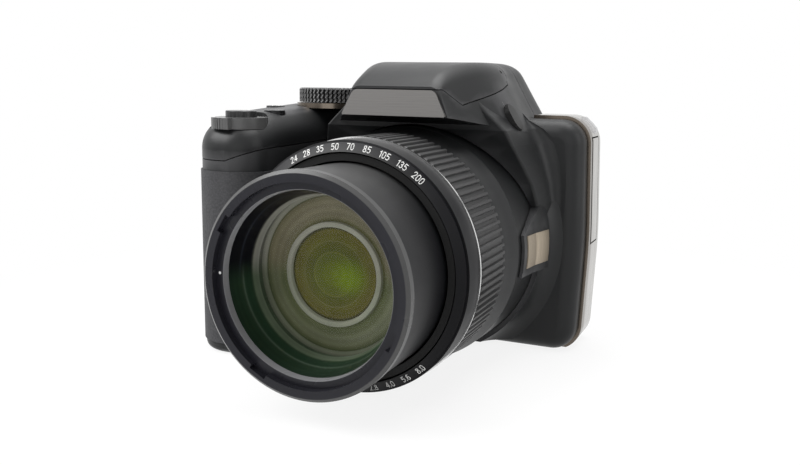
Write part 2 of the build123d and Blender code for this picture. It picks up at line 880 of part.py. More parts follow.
def side_screws():
    """The two small screws in the rear strip of the side band."""
    screws = []
    for z in (side_screw_z_low, side_screw_z_high):
        start = (body_right + side_crown, side_screw_y, z)
        screws.append(disc(side_screw_radius, start, side_screw_length + side_crown, (-1, 0, 0)))
    return screws


def grip_rubber():
    """The rubber skin round the grip, a little proud of the casing."""
    skin = grip_column(-rubber_proud) - grip_column(rubber_thickness - rubber_proud)
    zone = block((-overrun, -overrun, rubber_bottom_z), (overrun, rubber_rear_y, rubber_top_z))
    inner_end = block((rubber_inner_x, -overrun, 0), (overrun, overrun, overrun))
    return (skin & zone) - inner_end - cowl_clear()


def cowl_clear():
    """Room round the lens shroud that the grip rubber stops at."""
    radius = cowl_rear_radius - front_round
    return disc(radius, (0, cowl_front_y, axis_height), overrun, (0, 1, 0))


def plate_face(low_z, high_z):
    """The trapezoid outline of the front plate."""
    points = [(-plate_foot_half, low_z), (plate_foot_half, low_z),
              (plate_top_half, high_z), (-plate_top_half, high_z)]
    return rounded(points, (seam, seam, plate_corner, plate_corner))


def front_plate():
    """The bare plate on the front of the hump, leaning back a little."""
    high_z = lid_front_z - seam
    blank = extrude(front_plane(hump_front_y) * plate_face(plate_foot_z, high_z),
                    amount=plate_thickness)
    front = hump_front_y - plate_thickness
    lean = [(hump_front_y, plate_foot_z), (front, plate_foot_z),
            (front + plate_lean, high_z), (hump_front_y, high_z)]
    return blank & side_prism(lean, -plate_foot_half, plate_foot_half)


def badge_plate():
    """The bare metal plate on the tongue beside the lens."""
    outer = tongue_blank(badge_thickness / 2, tongue_front_y, tongue_rear_y)
    inner = tongue_blank(-badge_thickness / 2, tongue_front_y, tongue_rear_y)
    space = block((0, badge_front_y, badge_low_z), (overrun, badge_rear_y, badge_high_z))
    return (outer - inner) & space


def lens_collar():
    """The fixed drum that the zoom barrels slide in, flat where it passes the base."""
    body = turned(collar_profile(0))
    bore = disc(collar_bore, (0, -overrun, axis_height), 2 * overrun, (0, 1, 0))
    below = block((-overrun, -overrun, -overrun), (overrun, overrun, ground_gap))
    return body - bore - below


def ribbed_ring():
    """The grip ring round the collar: fine ribs with pointed front ends."""
    front = lens_front_y + silver_width + ring_front_gap
    rear = collar_step_y - ring_front_gap
    core = ring_radius - rib_depth
    plane = front_plane(rear)
    points = []
    for i in range(rib_count):
        for share, radius in ((0, core), ((1 - rib_tip_share) / 2 * rib_fill_share, ring_radius),
                              ((1 + rib_tip_share) / 2 * rib_fill_share, ring_radius),
                              (rib_fill_share, core)):
            turn = 2 * math.pi * (i + share) / rib_count
            points.append((radius * math.cos(turn), axis_height + radius * math.sin(turn)))
    toothed = extrude(plane * make_face(Polyline(*points, close=True)), amount=rear - front)
    taper = turned([(0, front), (core, front), (ring_radius, front + rib_lead),
                    (ring_radius, rear), (0, rear)])
    bore = disc(collar_neck_radius + seat, (0, -overrun, axis_height), 2 * overrun, (0, 1, 0))
    return (toothed & taper) - bore


def silver_ring():
    """The thin bright ring between the bezel and the ribs."""
    inner = collar_neck_radius + seat
    return washer(silver_radius, inner, (0, lens_front_y, axis_height), silver_width, (0, 1, 0))


def bezel_ring():
    """The fixed front ring with its sloping face and outer lip."""
    rear = lens_front_y - seat
    slope_y = bezel_front_y + bezel_slope
    outer = ring_radius - bezel_drop
    inner_lip = ring_radius - bezel_lip_width
    return turned([
        (bezel_bore, bezel_front_y), (inner_lip, slope_y), (inner_lip, slope_y + bezel_lip_step),
        (outer, slope_y + bezel_lip_step), (outer, rear), (bezel_bore, rear)])


def barrel_tube(outer, bore, front, rear):
    """A plain tube on the lens axis."""
    return washer(outer, bore, (0, front, axis_height), rear - front, (0, 1, 0))


def middle_barrel():
    """The middle zoom barrel."""
    return barrel_tube(middle_radius, middle_bore, middle_front_y, middle_rear_y)


def front_barrel():
    """The front zoom barrel."""
    return barrel_tube(barrel_radius, barrel_bore, barrel_front_y, barrel_rear_y)


def front_rim():
    """The front rim with its recessed shelf and three bayonet notches."""
    shelf_y = rim_front_y + rim_step_depth
    plug = barrel_bore - seat
    rim = turned([
        (rim_bore, rim_edge_y), (rim_shelf_inner, shelf_y), (rim_face_inner, shelf_y),
        (rim_face_inner, rim_front_y), (rim_face_radius, rim_front_y),
        (rim_radius, rim_front_y + rim_edge_round), (rim_radius, barrel_front_y),
        (plug, barrel_front_y), (plug, rim_edge_y)])
    notch = block((rim_face_inner - notch_depth, rim_front_y - notch_depth, -notch_width / 2),
                  (rim_face_inner + notch_depth, shelf_y, notch_width / 2))
    for turn in notch_turns:
        rim = rim - Pos(0, 0, axis_height) * Rot(0, -turn, 0) * notch
    return rim


def front_cell():
    """The conical black cell that holds the front lens."""
    outer = barrel_bore - seat
    seat_radius = cell_glass_radius + cell_seat
    return turned([
        (rim_bore, rim_edge_y + seat), (cell_glass_radius, cell_glass_y),
        (seat_radius, cell_glass_y), (seat_radius, cell_rear_y),
        (outer, cell_rear_y), (outer, rim_edge_y + seat)])


def lens_blank(radius, front, rear, crown):
    """A lens with a domed front and a flat back."""
    dome = ThreePointArc((0, front - crown), (radius / 2, front - crown * 3 / 4), (radius, front))
    rest = Polyline((radius, front), (radius, rear), (0, rear), (0, front - crown))
    return Pos(0, 0, axis_height) * revolve(make_face(dome + rest), Axis.Y, 360)


def front_lens():
    """The front lens element."""
    radius = cell_glass_radius + cell_seat - seat
    return lens_blank(radius, cell_glass_y + cell_seat / 2, cell_rear_y - front_lens_gap,
                      front_lens_crown)


def inner_cell():
    """The carrier behind the front lens, with a raised lip round the second lens."""
    rear = inner_cell_front_y + inner_cell_thickness
    outer = barrel_bore - seat
    bore = inner_lens_radius + seat
    return turned([
        (bore, inner_cell_front_y - inner_lip_height),
        (inner_lip_radius, inner_cell_front_y - inner_lip_height),
        (inner_lip_radius, inner_cell_front_y), (inner_spacer_bore, inner_cell_front_y),
        (inner_spacer_bore, cell_rear_y), (outer, cell_rear_y), (outer, rear), (bore, rear)])


def second_lens():
    """The smaller lens in the inner cell."""
    rear = inner_cell_front_y + inner_cell_thickness
    return lens_blank(inner_lens_radius, inner_cell_front_y, rear, inner_lens_crown)


def rod_starts(y):
    """Where the guide rods cross a plane."""
    places = []
    for i in range(rod_count):
        turn = 2 * math.pi * i / rod_count + math.pi / 2
        places.append((rod_circle * math.cos(turn), y, axis_height + rod_circle * math.sin(turn)))
    return places


def guide_rods():
    """The rods that the focus cell slides on."""
    front = iris_front_y + iris_thickness
    length = lens_base_front_y - front
    return [disc(rod_radius, start, length, (0, 1, 0)) for start in rod_starts(front)]


def iris_unit():
    """The diaphragm housing, seated in the collar."""
    rear = iris_front_y + iris_thickness
    return barrel_tube(collar_bore - seat, iris_hole, iris_front_y, rear)


def focus_cell():
    """The sliding carrier of the focus lens."""
    cell = barrel_tube(focus_outer, focus_lens_radius + seat, focus_front_y,
                       focus_front_y + focus_thickness)
    for start in rod_starts(focus_front_y - focus_thickness):
        cell = cell - disc(rod_radius + rod_clearance, start, 3 * focus_thickness, (0, 1, 0))
    return cell


def focus_lens():
    """The focus lens."""
    return lens_blank(focus_lens_radius, focus_front_y + focus_lens_crown / 2,
                      focus_front_y + focus_thickness, focus_lens_crown)


def lens_base():
    """The rear plate of the lens."""
    return barrel_tube(collar_bore - seat, lens_base_bore, lens_base_front_y, lens_base_rear_y)


def hinge_ears():
    """The two ears in the flash well that hold the hinge pin."""
    ears = []
    for side in (-1, 1):
        near, far = side * (knuckle_half + seam), side * (knuckle_half + seam + ear_width)
        left, right = min(near, far), max(near, far)
        arm = block((left, ear_front_y, ear_low_z), (right, well_rear_y + seat, ear_high_z))
        head = disc(ear_radius, (left, lid_pivot_y, lid_pivot_z), ear_width, (1, 0, 0))
        ears.append(arm + head - lid_cylinder(hinge_pin_radius, hump_half_width))
    return ears[0] + ears[1]


def hinge_pin():
    """The pin that the flash lid turns on."""
    return lid_cylinder(hinge_pin_radius, knuckle_half + seam + ear_width)


def flash_profile():
    """The side outline of the flash head as (y, z) points."""
    return [(flash_high_y, flash_high_z), (flash_low_y, flash_low_z), (flash_back_y, flash_low_z),
            (flash_back_y, flash_roof_z), (flash_roof_y, flash_roof_z)]


def flash_lid():
    """The pop-up lid: the top skin of the hump, its knuckle and the post of the flash head."""
    skin = (hump(0) - hump(lid_wall)) & lid_zone(0)
    knuckle = lid_cylinder(knuckle_radius, knuckle_half)
    post = block((-flash_half_width / 2, flash_roof_y, flash_roof_z),
                 (flash_half_width / 2, flash_back_y, hump_top_z))
    lid = skin + (knuckle & hump(lid_wall / 2)) + (post & hump(lid_wall / 2))
    return lid - lid_cylinder(hinge_pin_radius + hinge_pin_gap, hump_half_width)


def flash_window():
    """The clear window of the flash, leaning down while the lid is shut."""
    dy, dz = flash_low_y - flash_high_y, flash_low_z - flash_high_z
    length = math.hypot(dy, dz)
    back_y, back_z = -dz / length * flash_window_thickness, dy / length * flash_window_thickness
    points = [(flash_high_y, flash_high_z), (flash_low_y, flash_low_z),
              (flash_low_y + back_y, flash_low_z + back_z),
              (flash_high_y + back_y, flash_high_z + back_z)]
    half = flash_half_width - flash_shell
    return side_prism(points, -half, half) & side_prism(flash_profile(), -half, half)


def flash_reflector():
    """The flash head case with its open front."""
    case = side_prism(flash_profile(), -flash_half_width, flash_half_width)
    half = flash_half_width - flash_shell
    inside = [(flash_high_y, flash_high_z), (flash_low_y, flash_low_z),
              (flash_back_y - flash_shell, flash_low_z + flash_shell),
              (flash_back_y - flash_shell, flash_roof_z - flash_shell),
              (flash_roof_y, flash_roof_z - flash_shell)]
    return case - side_prism(inside, -half, half) - flash_window()


def flash_oval(gap, reach, depth):
    """The oval of the flash button, run out and in through the flank of the hump."""
    tilt = math.radians(flash_button_tilt)
    outward = Vector(math.cos(tilt), 0, math.sin(tilt))
    along_slope = Vector(-math.sin(tilt), 0, math.cos(tilt))
    origin = Vector(flash_button_x, flash_button_y, flash_button_z)
    plane = Plane(origin=origin, x_dir=along_slope, z_dir=outward)
    oval = plane * SlotOverall(flash_button_length + 2 * gap, flash_button_width + 2 * gap)
    return extrude(oval, amount=reach) + extrude(oval, amount=-depth)


def flash_button():
    """The button that releases the flash lid."""
    return flash_oval(0, flash_button_proud, flash_button_depth)


def lever_fan(reach, half_turn):
    """A flat sector about the shutter button, for the lever's tab and its swing."""
    middle = math.radians(lever_turn - 90)
    half = math.radians(half_turn)
    points = [(0, 0)]
    for turn in (middle - half, middle, middle + half):
        points.append((2 * reach * math.cos(turn), 2 * reach * math.sin(turn)))
    sector = make_face(Polyline(*points, close=True)) & Circle(reach)
    return Pos(shutter_x, shutter_y, 0) * sector


def lever_space():
    """The round pocket of the zoom lever, with room for its tab to swing."""
    pocket = upright(lever_outer + fit, shutter_x, shutter_y, lever_bottom_z - fit, overrun)
    reach = lever_outer + lever_tab_reach + fit
    fan = extrude(Pos(0, 0, lever_bottom_z - fit) * lever_fan(reach, lever_half_fan()), amount=overrun)
    return pocket + fan


def lever_half_fan():
    """Half the angle that the tab sweeps, in degrees."""
    tab = math.degrees(math.asin((lever_tab_width / 2 + seam) / lever_outer))
    return lever_swing + tab


def zoom_lever():
    """The zoom ring round the shutter button, with a ribbed tab."""
    ring = washer(lever_outer, shutter_radius + fit, (0, 0, lever_bottom_z),
                  lever_top_z - lever_bottom_z, (0, 0, 1))
    reach = lever_outer + lever_tab_reach
    tab = block((-lever_tab_width / 2, -reach, lever_bottom_z),
                (lever_tab_width / 2, -lever_outer + wall, lever_bottom_z + lever_tab_thickness))
    tab = tab & upright(reach, 0, 0, 0, overrun)
    pitch = lever_tab_width / lever_knurl_count
    for i in range(lever_knurl_count):
        x = (i + 1 / 2) * pitch - lever_tab_width / 2
        tab = tab - upright(lever_knurl, x, -reach, 0, overrun)
    tab = tab - upright(shutter_radius + fit, 0, 0, 0, overrun)
    return Pos(shutter_x, shutter_y, 0) * Rot(0, 0, lever_turn) * (ring + tab)


def shutter_button():
    """The shutter button and its stem."""
    cap = upright(shutter_radius, shutter_x, shutter_y, shutter_top_z - shutter_cap, shutter_top_z)
    cap = fillet(cap.faces().sort_by(Axis.Z)[-1].edges(), seam)
    stem = upright(shutter_stem, shutter_x, shutter_y, shutter_stem_end_z, shutter_top_z - shutter_cap)
    return cap + stem


def deck_button(radius, x, y):
    """A low round button in the deck, with the flange that keeps it in."""
    top = deck_z(y) + button_proud
    flange_top = deck_z(y) - wall - button_boss - seat
    cap = upright(radius, x, y, flange_top, top)
    cap = fillet(cap.faces().sort_by(Axis.Z)[-1].edges(), seam)
    flange = upright(radius + button_flange, x, y, flange_top - button_flange, flange_top)
    return cap + (flange & left_block(wall + seat))


def deck_boss(radius, x, y):
    """The guide under the deck for a low round button."""
    low = deck_z(y) - wall - button_boss
    return upright(radius + button_boss_wall, x, y, low, deck_z(y)) & left_block(seat)


def mode_dial():
    """The knurled mode dial and its shaft."""
    body = upright(dial_radius, dial_x, dial_y, dial_low_z, dial_high_z)
    body = chamfer(body.faces().sort_by(Axis.Z)[-1].edges(), dial_cap_drop)
    for i in range(dial_knurl_count):
        turn = 2 * math.pi * i / dial_knurl_count
        x = dial_x + dial_radius * math.cos(turn)
        y = dial_y + dial_radius * math.sin(turn)
        body = body - upright(dial_knurl, x, y, dial_low_z, dial_high_z - dial_cap_drop)
    return body + upright(dial_shaft_radius, dial_x, dial_y, dial_shaft_end_z, dial_low_z)


def dial_seat():
    """The bright ring under the mode dial."""
    return washer(dial_seat_radius, dial_shaft_radius + fit, (dial_x, dial_y, dial_seat_low_z),
                  dial_low_z - seam - dial_seat_low_z, (0, 0, 1))


def focus_lamp():
    """The focus-assist lamp in the front of the deck."""
    front = face_y + lamp_recess
    tube = washer(lamp_radius + lamp_collar, lamp_radius, (lamp_x, face_y + seat, lamp_z),
                  wall, (0, 1, 0))
    lens = rear_disc(lamp_radius, lamp_x, lamp_z, front, face_y + wall)
    return tube + lens


def rear_buttons():
    """Places and radii of the round openings in the rear face."""
    return [
        (pad_x, pad_z, pad_radius),
        (menu_x, low_button_z, low_button_radius),
        (play_x, low_button_z, low_button_radius),
        (video_x, video_z, video_radius),
    ]


def rear_button(x, z, radius):
    """A round button in the rear face, with the flange that keeps it in."""
    inside = rear_y - wall - seat
    cap = rear_disc(radius, x, z, inside, rear_y + cap_proud)
    cap = fillet(cap.faces().sort_by(Axis.Y)[-1].edges(), seam)
    return cap + rear_disc(radius + cap_flange, x, z, inside - cap_flange, inside)


def direction_pad():
    """The ring of the four-way pad."""
    ring = rear_button(pad_x, pad_z, pad_radius)
    return ring - rear_disc(set_radius + fit, pad_x, pad_z, 0, overrun)


def set_button():
    """The button in the middle of the four-way pad."""
    cap = rear_disc(set_radius, pad_x, pad_z, rear_y - wall - seat - cap_flange, rear_y + pad_proud)
    return fillet(cap.faces().sort_by(Axis.Y)[-1].edges(), seam)


def dioptre_wheel():
    """The knurled wheel that focuses the eyepiece."""
    rear = rear_y + dioptre_proud
    wheel = rear_disc(dioptre_radius, dioptre_x, dioptre_z, rear_y - wall, rear)
    for i in range(dioptre_knurl_count):
        turn = 2 * math.pi * i / dioptre_knurl_count
        x = dioptre_x + dioptre_radius * math.cos(turn)
        z = dioptre_z + dioptre_radius * math.sin(turn)
        wheel = wheel - rear_disc(dial_knurl, x, z, rear_y + seam, rear + seam)
    flange = rear_disc(dioptre_radius + cap_flange, dioptre_x, dioptre_z,
                       rear_y - wall - seat - cap_flange, rear_y - wall - seat)
    return wheel + flange + rear_disc(dioptre_radius, dioptre_x, dioptre_z,
                                      rear_y - wall - seat, rear_y - wall)


def screen_glass_pane():
    """The pane over the screen, level with the rear face."""
    face = rounded_box_face(screen_x, screen_z, screen_width / 2 - seat, screen_height / 2 - seat, 0)
    return extrude(front_plane(rear_y) * face, amount=screen_glass)


def screen_panel():
    """The display panel behind the pane."""
    half_width = screen_width / 2 - screen_panel_border
    half_height = screen_height / 2 - screen_panel_border
    rear = rear_y - screen_glass - seat
    return block((screen_x - half_width, rear - screen_panel_thickness, screen_z - half_height),
                 (screen_x + half_width, rear, screen_z + half_height))


def rounded_box_face(x, z, half_width, half_height, corner):
    """A rectangle with round corners about a centre."""
    points = [(x - half_width, z - half_height), (x + half_width, z - half_height),
              (x + half_width, z + half_height), (x - half_width, z + half_height)]
    return rounded(points, (corner,) * len(points))


def eyecup():
    """The rubber eyecup round the eyepiece."""
    outer = rounded_box_face(0, eyepiece_z, eyecup_half_width, eyecup_half_height, eyecup_corner)
    inner = rounded_box_face(0, eyepiece_z, eyecup_half_width - eyecup_wall,
                             eyecup_half_height - eyecup_wall, eyecup_corner - eyecup_wall)
    cup = extrude(front_plane(rear_y + eyecup_depth) * outer, amount=eyecup_depth - seat)
    cup = fillet(cup.faces().sort_by(Axis.Y)[-1].edges(), eyecup_wall / 2)
    return cup - extrude(front_plane(rear_y + 2 * eyecup_depth) * inner, amount=2 * eyecup_depth)


def finder_block(gap, shrink):
    """The outside or the inside of the viewfinder tube."""
    half_width = eye_lens_half_width + finder_wall - shrink + gap
    half_height = eye_lens_half_height + finder_wall - shrink + gap
    return block((-half_width, finder_front_y, eyepiece_z - half_height),
                 (half_width, rear_y + gap, eyepiece_z + half_height))


def viewfinder_tube():
    """The tube between the viewfinder display and the eyepiece."""
    return finder_block(0, 0) - finder_block(seat, finder_wall)


def eyepiece_lens():
    """The eyepiece lens in the rear end of the viewfinder tube."""
    rear = rear_y - seam
    face = rounded_box_face(0, eyepiece_z, eye_lens_half_width, eye_lens_half_height, seam)
    return extrude(front_plane(rear) * face, amount=eye_lens_thickness)


def thumb_rest():
    """The rubber pad for the thumb."""
    face = rounded_box_face(thumb_x, thumb_z, thumb_width / 2, thumb_height / 2, thumb_corner)
    pad = extrude(front_plane(rear_y + thumb_proud) * face, amount=thumb_proud - seat)
    return fillet(pad.faces().sort_by(Axis.Y)[-1].edges(), thumb_proud / 2)


def strap_lugs():
    """The two loops for a strap, one on the port shoulder and one beside the grip."""
    loops = []
    for x, z, turn in ((port_lug_x, port_lug_z, -45), (-grip_left, lug_z, 90)):
        outer = rounded_box_face(0, 0, lug_width / 2, lug_height / 2, lug_bar)
        inner = rounded_box_face(0, 0, lug_width / 2 - lug_bar, lug_height / 2 - lug_bar, seam)
        loop = extrude(front_plane(lug_depth / 2) * (outer - inner), amount=lug_depth)
        loops.append(Pos(x, lug_y, z) * Rot(0, -turn, 0) * loop)
    port = loops[0] - slab(-band_proud)
    grip = loops[1] - left_block(0)
    return [port, grip]


def tripod_socket():
    """The threaded bush in the base for a tripod screw."""
    body = upright(socket_outer, socket_x, 0, 0, socket_length)
    flange = upright(socket_flange, socket_x, 0, socket_flange_z, socket_length)
    return body + flange - upright(socket_hole, socket_x, 0, -wall, 2 * socket_length)


def chassis():
    """The metal plate that the lens, the sensor and the boards are fixed to."""
    rear = chassis_front_y + chassis_thickness
    plate = block((chassis_left, chassis_front_y, chassis_low_z),
                  (chassis_right, rear, chassis_high_z))
    half = sensor_half + fit
    window = block((-half, -overrun, axis_height - half), (half, overrun, axis_height + half))
    shaft = rear_disc(gear_shaft + fit, motor_x, motor_z, -overrun, 0)
    plate = plate - window - shaft
    for x in (motor_x - motor_post_reach, motor_x + motor_post_reach):
        plate = plate + rear_disc(motor_post, x, motor_z, rear, gear_front_y() + gear_thickness)
    return plate


def image_sensor():
    """The image sensor in the window of the chassis."""
    rear = chassis_front_y + chassis_thickness
    return block((-sensor_half, rear - sensor_thickness, axis_height - sensor_half),
                 (sensor_half, rear, axis_height + sensor_half))


def main_board():
    """The main circuit board on the port side of the chassis."""
    front = chassis_front_y + chassis_thickness
    return block((main_board_left, front, main_board_low_z),
                 (main_board_right, front + board_thickness, main_board_high_z))


def gear_front_y():
    """Front of the drive gear, just behind the chassis."""
    return chassis_front_y + chassis_thickness + fit


def zoom_motor():
    """The motor that drives the zoom, with its shaft through the gear."""
    front = gear_front_y() + gear_thickness + fit
    can = rear_disc(motor_radius, motor_x, motor_z, front, front + motor_length)
    reach = motor_post_reach + 2 * motor_post
    flange = block((motor_x - reach, front, motor_z - motor_post),
                   (motor_x + reach, front + motor_flange, motor_z + motor_post))
    return can + flange + rear_disc(gear_shaft, motor_x, motor_z, chassis_front_y + fit, front)


def drive_gear():
    """The toothed wheel on the motor shaft."""
    points = []
    for i in range(gear_teeth):
        for share, radius in ((-1 / 4, gear_radius - gear_tooth), (-1 / 8, gear_radius),
                              (1 / 8, gear_radius), (1 / 4, gear_radius - gear_tooth)):
            turn = 2 * math.pi * (i + share) / gear_teeth
            points.append((motor_x + radius * math.cos(turn), motor_z + radius * math.sin(turn)))
    front = gear_front_y()
    wheel = front_prism(points, front, front + gear_thickness)
    return wheel - rear_disc(gear_shaft + rod_clearance, motor_x, motor_z, -overrun, overrun)


def battery():
    """The flat rechargeable battery in the grip."""
    return battery_space(0)


def battery_space(gap):
    """The battery's space with a gap round it."""
    half_width = battery_width / 2 + gap
    half_length = battery_length / 2 + gap
    return block((battery_x - half_width, battery_y - half_length, battery_low_z),
                 (battery_x + half_width, battery_y + half_length,
                  battery_low_z + battery_height + gap))


def battery_box():
    """The open-bottomed box that guides the battery."""
    low = battery_door_thickness + fit
    shaft = battery_space(box_gap) + Pos(0, 0, low - battery_low_z) * battery_space(box_gap)
    return (battery_space(box_gap + box_wall) - shaft) & block(
        (-overrun, -overrun, low), (overrun, overrun, overrun))


def battery_door_space(gap):
    """The opening in the base for the battery door."""
    return block((battery_door_left - gap, battery_door_front - gap, -wall),
                 (battery_door_right + gap, battery_door_rear + gap, battery_door_thickness))


def battery_door():
    """The door in the base under the battery and the card."""
    return battery_door_space(0) & block((-overrun, -overrun, 0), (overrun, overrun, overrun))


def cover_screws():
    """The screws of the base and of the side band."""
    screws = []
    for x in (screw_left_x, screw_middle_x, screw_right_x):
        screw = upright(screw_radius, x, screw_y, screw_sink, screw_length)
        slot = block((x - screw_radius, screw_y - screw_slot / 2, 0),
                     (x + screw_radius, screw_y + screw_slot / 2, screw_sink + screw_slot))
        screws.append(screw - slot)
    trim = slab(-band_proud)
    return screws + [screw & trim for screw in side_screws()]


def write(node, solids):
    """Writes one node's solid, or its group of separate solids, to its own file."""
    if isinstance(solids, list):
        solids = Compound(children=solids)
    export_step(solids, f"parts/{node}.step")


def main():
    os.makedirs("parts", exist_ok=True)
    shell = casing_shell()
    write("front_cover", front_cover(shell))
    write("rear_cover", rear_cover(shell))
    write("menu_button", rear_button(menu_x, low_button_z, low_button_radius))
    write("play_button", rear_button(play_x, low_button_z, low_button_radius))
    write("video_button", rear_button(video_x, video_z, video_radius))
    write("top_button", deck_button(button_radius, button_x, button_y))
    write("power_button", deck_button(power_radius, power_x, power_y))
    write("screen_glass", screen_glass_pane())
    makers = [
        top_cover, side_band, port_door, port_sockets, grip_rubber, thumb_rest, front_plate,
        badge_plate, lens_collar, ribbed_ring, silver_ring, bezel_ring, front_rim, front_cell,
        front_lens, inner_cell, second_lens, guide_rods, iris_unit, focus_cell, focus_lens,
        lens_base, hinge_pin, flash_lid, flash_window, flash_reflector, flash_button,
        zoom_lever, shutter_button, mode_dial, dial_seat, focus_lamp,
        direction_pad, set_button, dioptre_wheel, screen_panel, eyecup, viewfinder_tube,
        eyepiece_lens, strap_lugs, tripod_socket, chassis, image_sensor, main_board, zoom_motor,
        drive_gear, battery, battery_box, battery_door, cover_screws, middle_barrel, front_barrel,
    ]
    for maker in makers:
        write(maker.__name__, maker())


if __name__ == "__main__":
    main()
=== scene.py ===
"""Looks of the bridge camera: materials, printed marks, lens coatings, light and camera.

Everything is in metres in the part's own frame: X right, Y back, Z up, base at zero.
"""
import math
import bpy
from mathutils import Matrix, Vector
from mathutils.bvhtree import BVHTree


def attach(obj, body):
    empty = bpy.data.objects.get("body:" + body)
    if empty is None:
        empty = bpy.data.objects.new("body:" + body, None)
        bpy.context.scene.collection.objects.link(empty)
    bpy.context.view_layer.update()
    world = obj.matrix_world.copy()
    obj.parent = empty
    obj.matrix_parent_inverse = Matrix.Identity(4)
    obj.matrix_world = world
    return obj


MM = 0.001
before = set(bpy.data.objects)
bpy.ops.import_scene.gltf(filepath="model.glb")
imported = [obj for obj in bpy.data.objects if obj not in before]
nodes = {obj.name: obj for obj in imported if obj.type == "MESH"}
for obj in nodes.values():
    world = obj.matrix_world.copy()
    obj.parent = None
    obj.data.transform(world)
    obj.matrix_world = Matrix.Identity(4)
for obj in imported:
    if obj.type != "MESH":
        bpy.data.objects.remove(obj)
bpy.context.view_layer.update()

AXIS_Z = 36.0 * MM            # lens axis above the base
BODY = "body"
ZOOM = "front_zoom"
WHITE = (1, 1, 1)


# Node helpers: each takes and gives sockets or plain values

def new_material(name):
    """A material with its node tree and its shader."""
    material = bpy.data.materials.new(name)
    material.use_nodes = True
    tree = material.node_tree
    return material, tree, tree.nodes["Principled BSDF"]


def feed(tree, value, socket):
    """Links an output to a socket, or gives the socket a plain value."""
    if isinstance(value, bpy.types.NodeSocket):
        tree.links.new(value, socket)
    else:
        socket.default_value = value


def add(tree, kind, **values):
    """A node with its properties and named sockets set."""
    node = tree.nodes.new(kind)
    for key, value in values.items():
        if hasattr(node, key):
            setattr(node, key, value)
        else:
            feed(tree, value, node.inputs[key.replace("_", " ")])
    return node


def dress(tree, shader, **values):
    """Sets or links named sockets of a shader."""
    for key, value in values.items():
        feed(tree, value, shader.inputs[key.replace("_", " ")])


def maths(tree, operation, *values):
    """The result of a sum on numbers."""
    node = add(tree, "ShaderNodeMath", operation=operation)
    for socket, value in zip(node.inputs, values):
        feed(tree, value, socket)
    return node.outputs["Value"]


def vectors(tree, operation, *values, output="Vector"):
    """The result of a sum on vectors."""
    node = add(tree, "ShaderNodeVectorMath", operation=operation)
    for socket, value in zip(node.inputs, values):
        feed(tree, value, socket)
    return node.outputs[output]


def scaled(tree, colour, factor):
    """A colour multiplied by a factor."""
    node = add(tree, "ShaderNodeVectorMath", operation="SCALE", Scale=factor)
    feed(tree, colour, node.inputs["Vector"])
    return node.outputs["Vector"]


def mixed(tree, factor, under, over, blend_type="MIX"):
    """Two colours mixed by a factor."""
    node = add(tree, "ShaderNodeMix", data_type="RGBA", blend_type=blend_type)
    colours = [(*c, 1) if isinstance(c, tuple) else c for c in (under, over)]
    for index, value in zip((0, 6, 7), (factor, *colours)):
        feed(tree, value, node.inputs[index])
    return node.outputs[2]


def remap(tree, value, start, stop, low=0.0, high=1.0, shape="LINEAR"):
    """A value moved from the range start to stop onto the range low to high."""
    node = add(tree, "ShaderNodeMapRange", interpolation_type=shape, Value=value,
               From_Min=start, From_Max=stop, To_Min=low, To_Max=high)
    return node.outputs["Result"]


def place(tree):
    """The place on the part, in metres in its frame."""
    return add(tree, "ShaderNodeTexCoord").outputs["Object"]


def axes(tree, point):
    """The X, Y and Z of a point."""
    return add(tree, "ShaderNodeSeparateXYZ", Vector=point).outputs


def noise(tree, scale, detail, output="Fac"):
    """Noise with a scale in cycles per metre."""
    return add(tree, "ShaderNodeTexNoise", Vector=place(tree), Scale=scale, Detail=detail).outputs[output]


SOFT = 2.0                    # detail of noise: for grain and haze
CLOUDY = 3.0                  # for clouds and streaks
RICH = 4.0                    # for rubber and the floor
NOISE_RANGE = (0.3, 0.7)      # where most of a noise texture's values lie


def span(tree, texture, low, high):
    """A texture's middle range moved onto a span of values."""
    return remap(tree, texture, *NOISE_RANGE, low, high)


def bump(tree, shader, height, distance):
    """Gives the shader a bump from a height."""
    node = add(tree, "ShaderNodeBump", Strength=1.0, Distance=distance, Height=height)
    dress(tree, shader, Normal=node.outputs["Normal"])


def along(tree, axis, start, stop):
    """A factor that rises from zero to one between two places on an axis."""
    return remap(tree, axes(tree, place(tree))[axis], start, stop, shape="SMOOTHSTEP")


def axis_radius(tree):
    """Distance from the lens axis."""
    point = axes(tree, place(tree))
    flat = add(tree, "ShaderNodeCombineXYZ", X=point["X"], Y=maths(tree, "SUBTRACT", point["Z"], AXIS_Z))
    return vectors(tree, "LENGTH", flat.outputs["Vector"], output="Value")


def near_radius(tree, radius, width):
    """A factor that is one on a thin ring about the lens axis."""
    away = maths(tree, "ABSOLUTE", maths(tree, "SUBTRACT", axis_radius(tree), radius))
    return remap(tree, away, width, width / 2, shape="SMOOTHSTEP")


def ring_ramp(tree, radius, stops):
    """Colours that change with distance from the axis, as (millimetres, colour) stops."""
    reach = stops[-1][0]
    ramp = add(tree, "ShaderNodeValToRGB", Fac=maths(tree, "DIVIDE", radius, reach * MM))
    points = ramp.color_ramp.elements
    while len(points) > 1:
        points.remove(points[-1])
    points[0].position = stops[0][0] / reach
    points[0].color = (*stops[0][1], 1)
    for distance, colour in stops[1:]:
        points.new(distance / reach).color = (*colour, 1)
    return ramp.outputs["Color"]


def fine_rings(tree, radius, pitch, low, high):
    """Fine concentric lines as a factor between two values."""
    wave = maths(tree, "SINE", maths(tree, "MULTIPLY", radius, 2 * math.pi / pitch))
    return remap(tree, wave, -1.0, 1.0, low, high)


# Kinds of finish

WEAR = (0.52, 0.62)           # pointiness from which an edge is worn, and at which it is fully worn
CLOUDS = 90.0                 # cycles per metre of slow changes of tone on plastic
CLOUD_TINT = (0.8, 0.8, 0.82)
CLOUD_DEPTH = 0.35

KNURL_ROUGH = (0.28, 0.34)
KNURL_DEPTH = 0.22 * MM

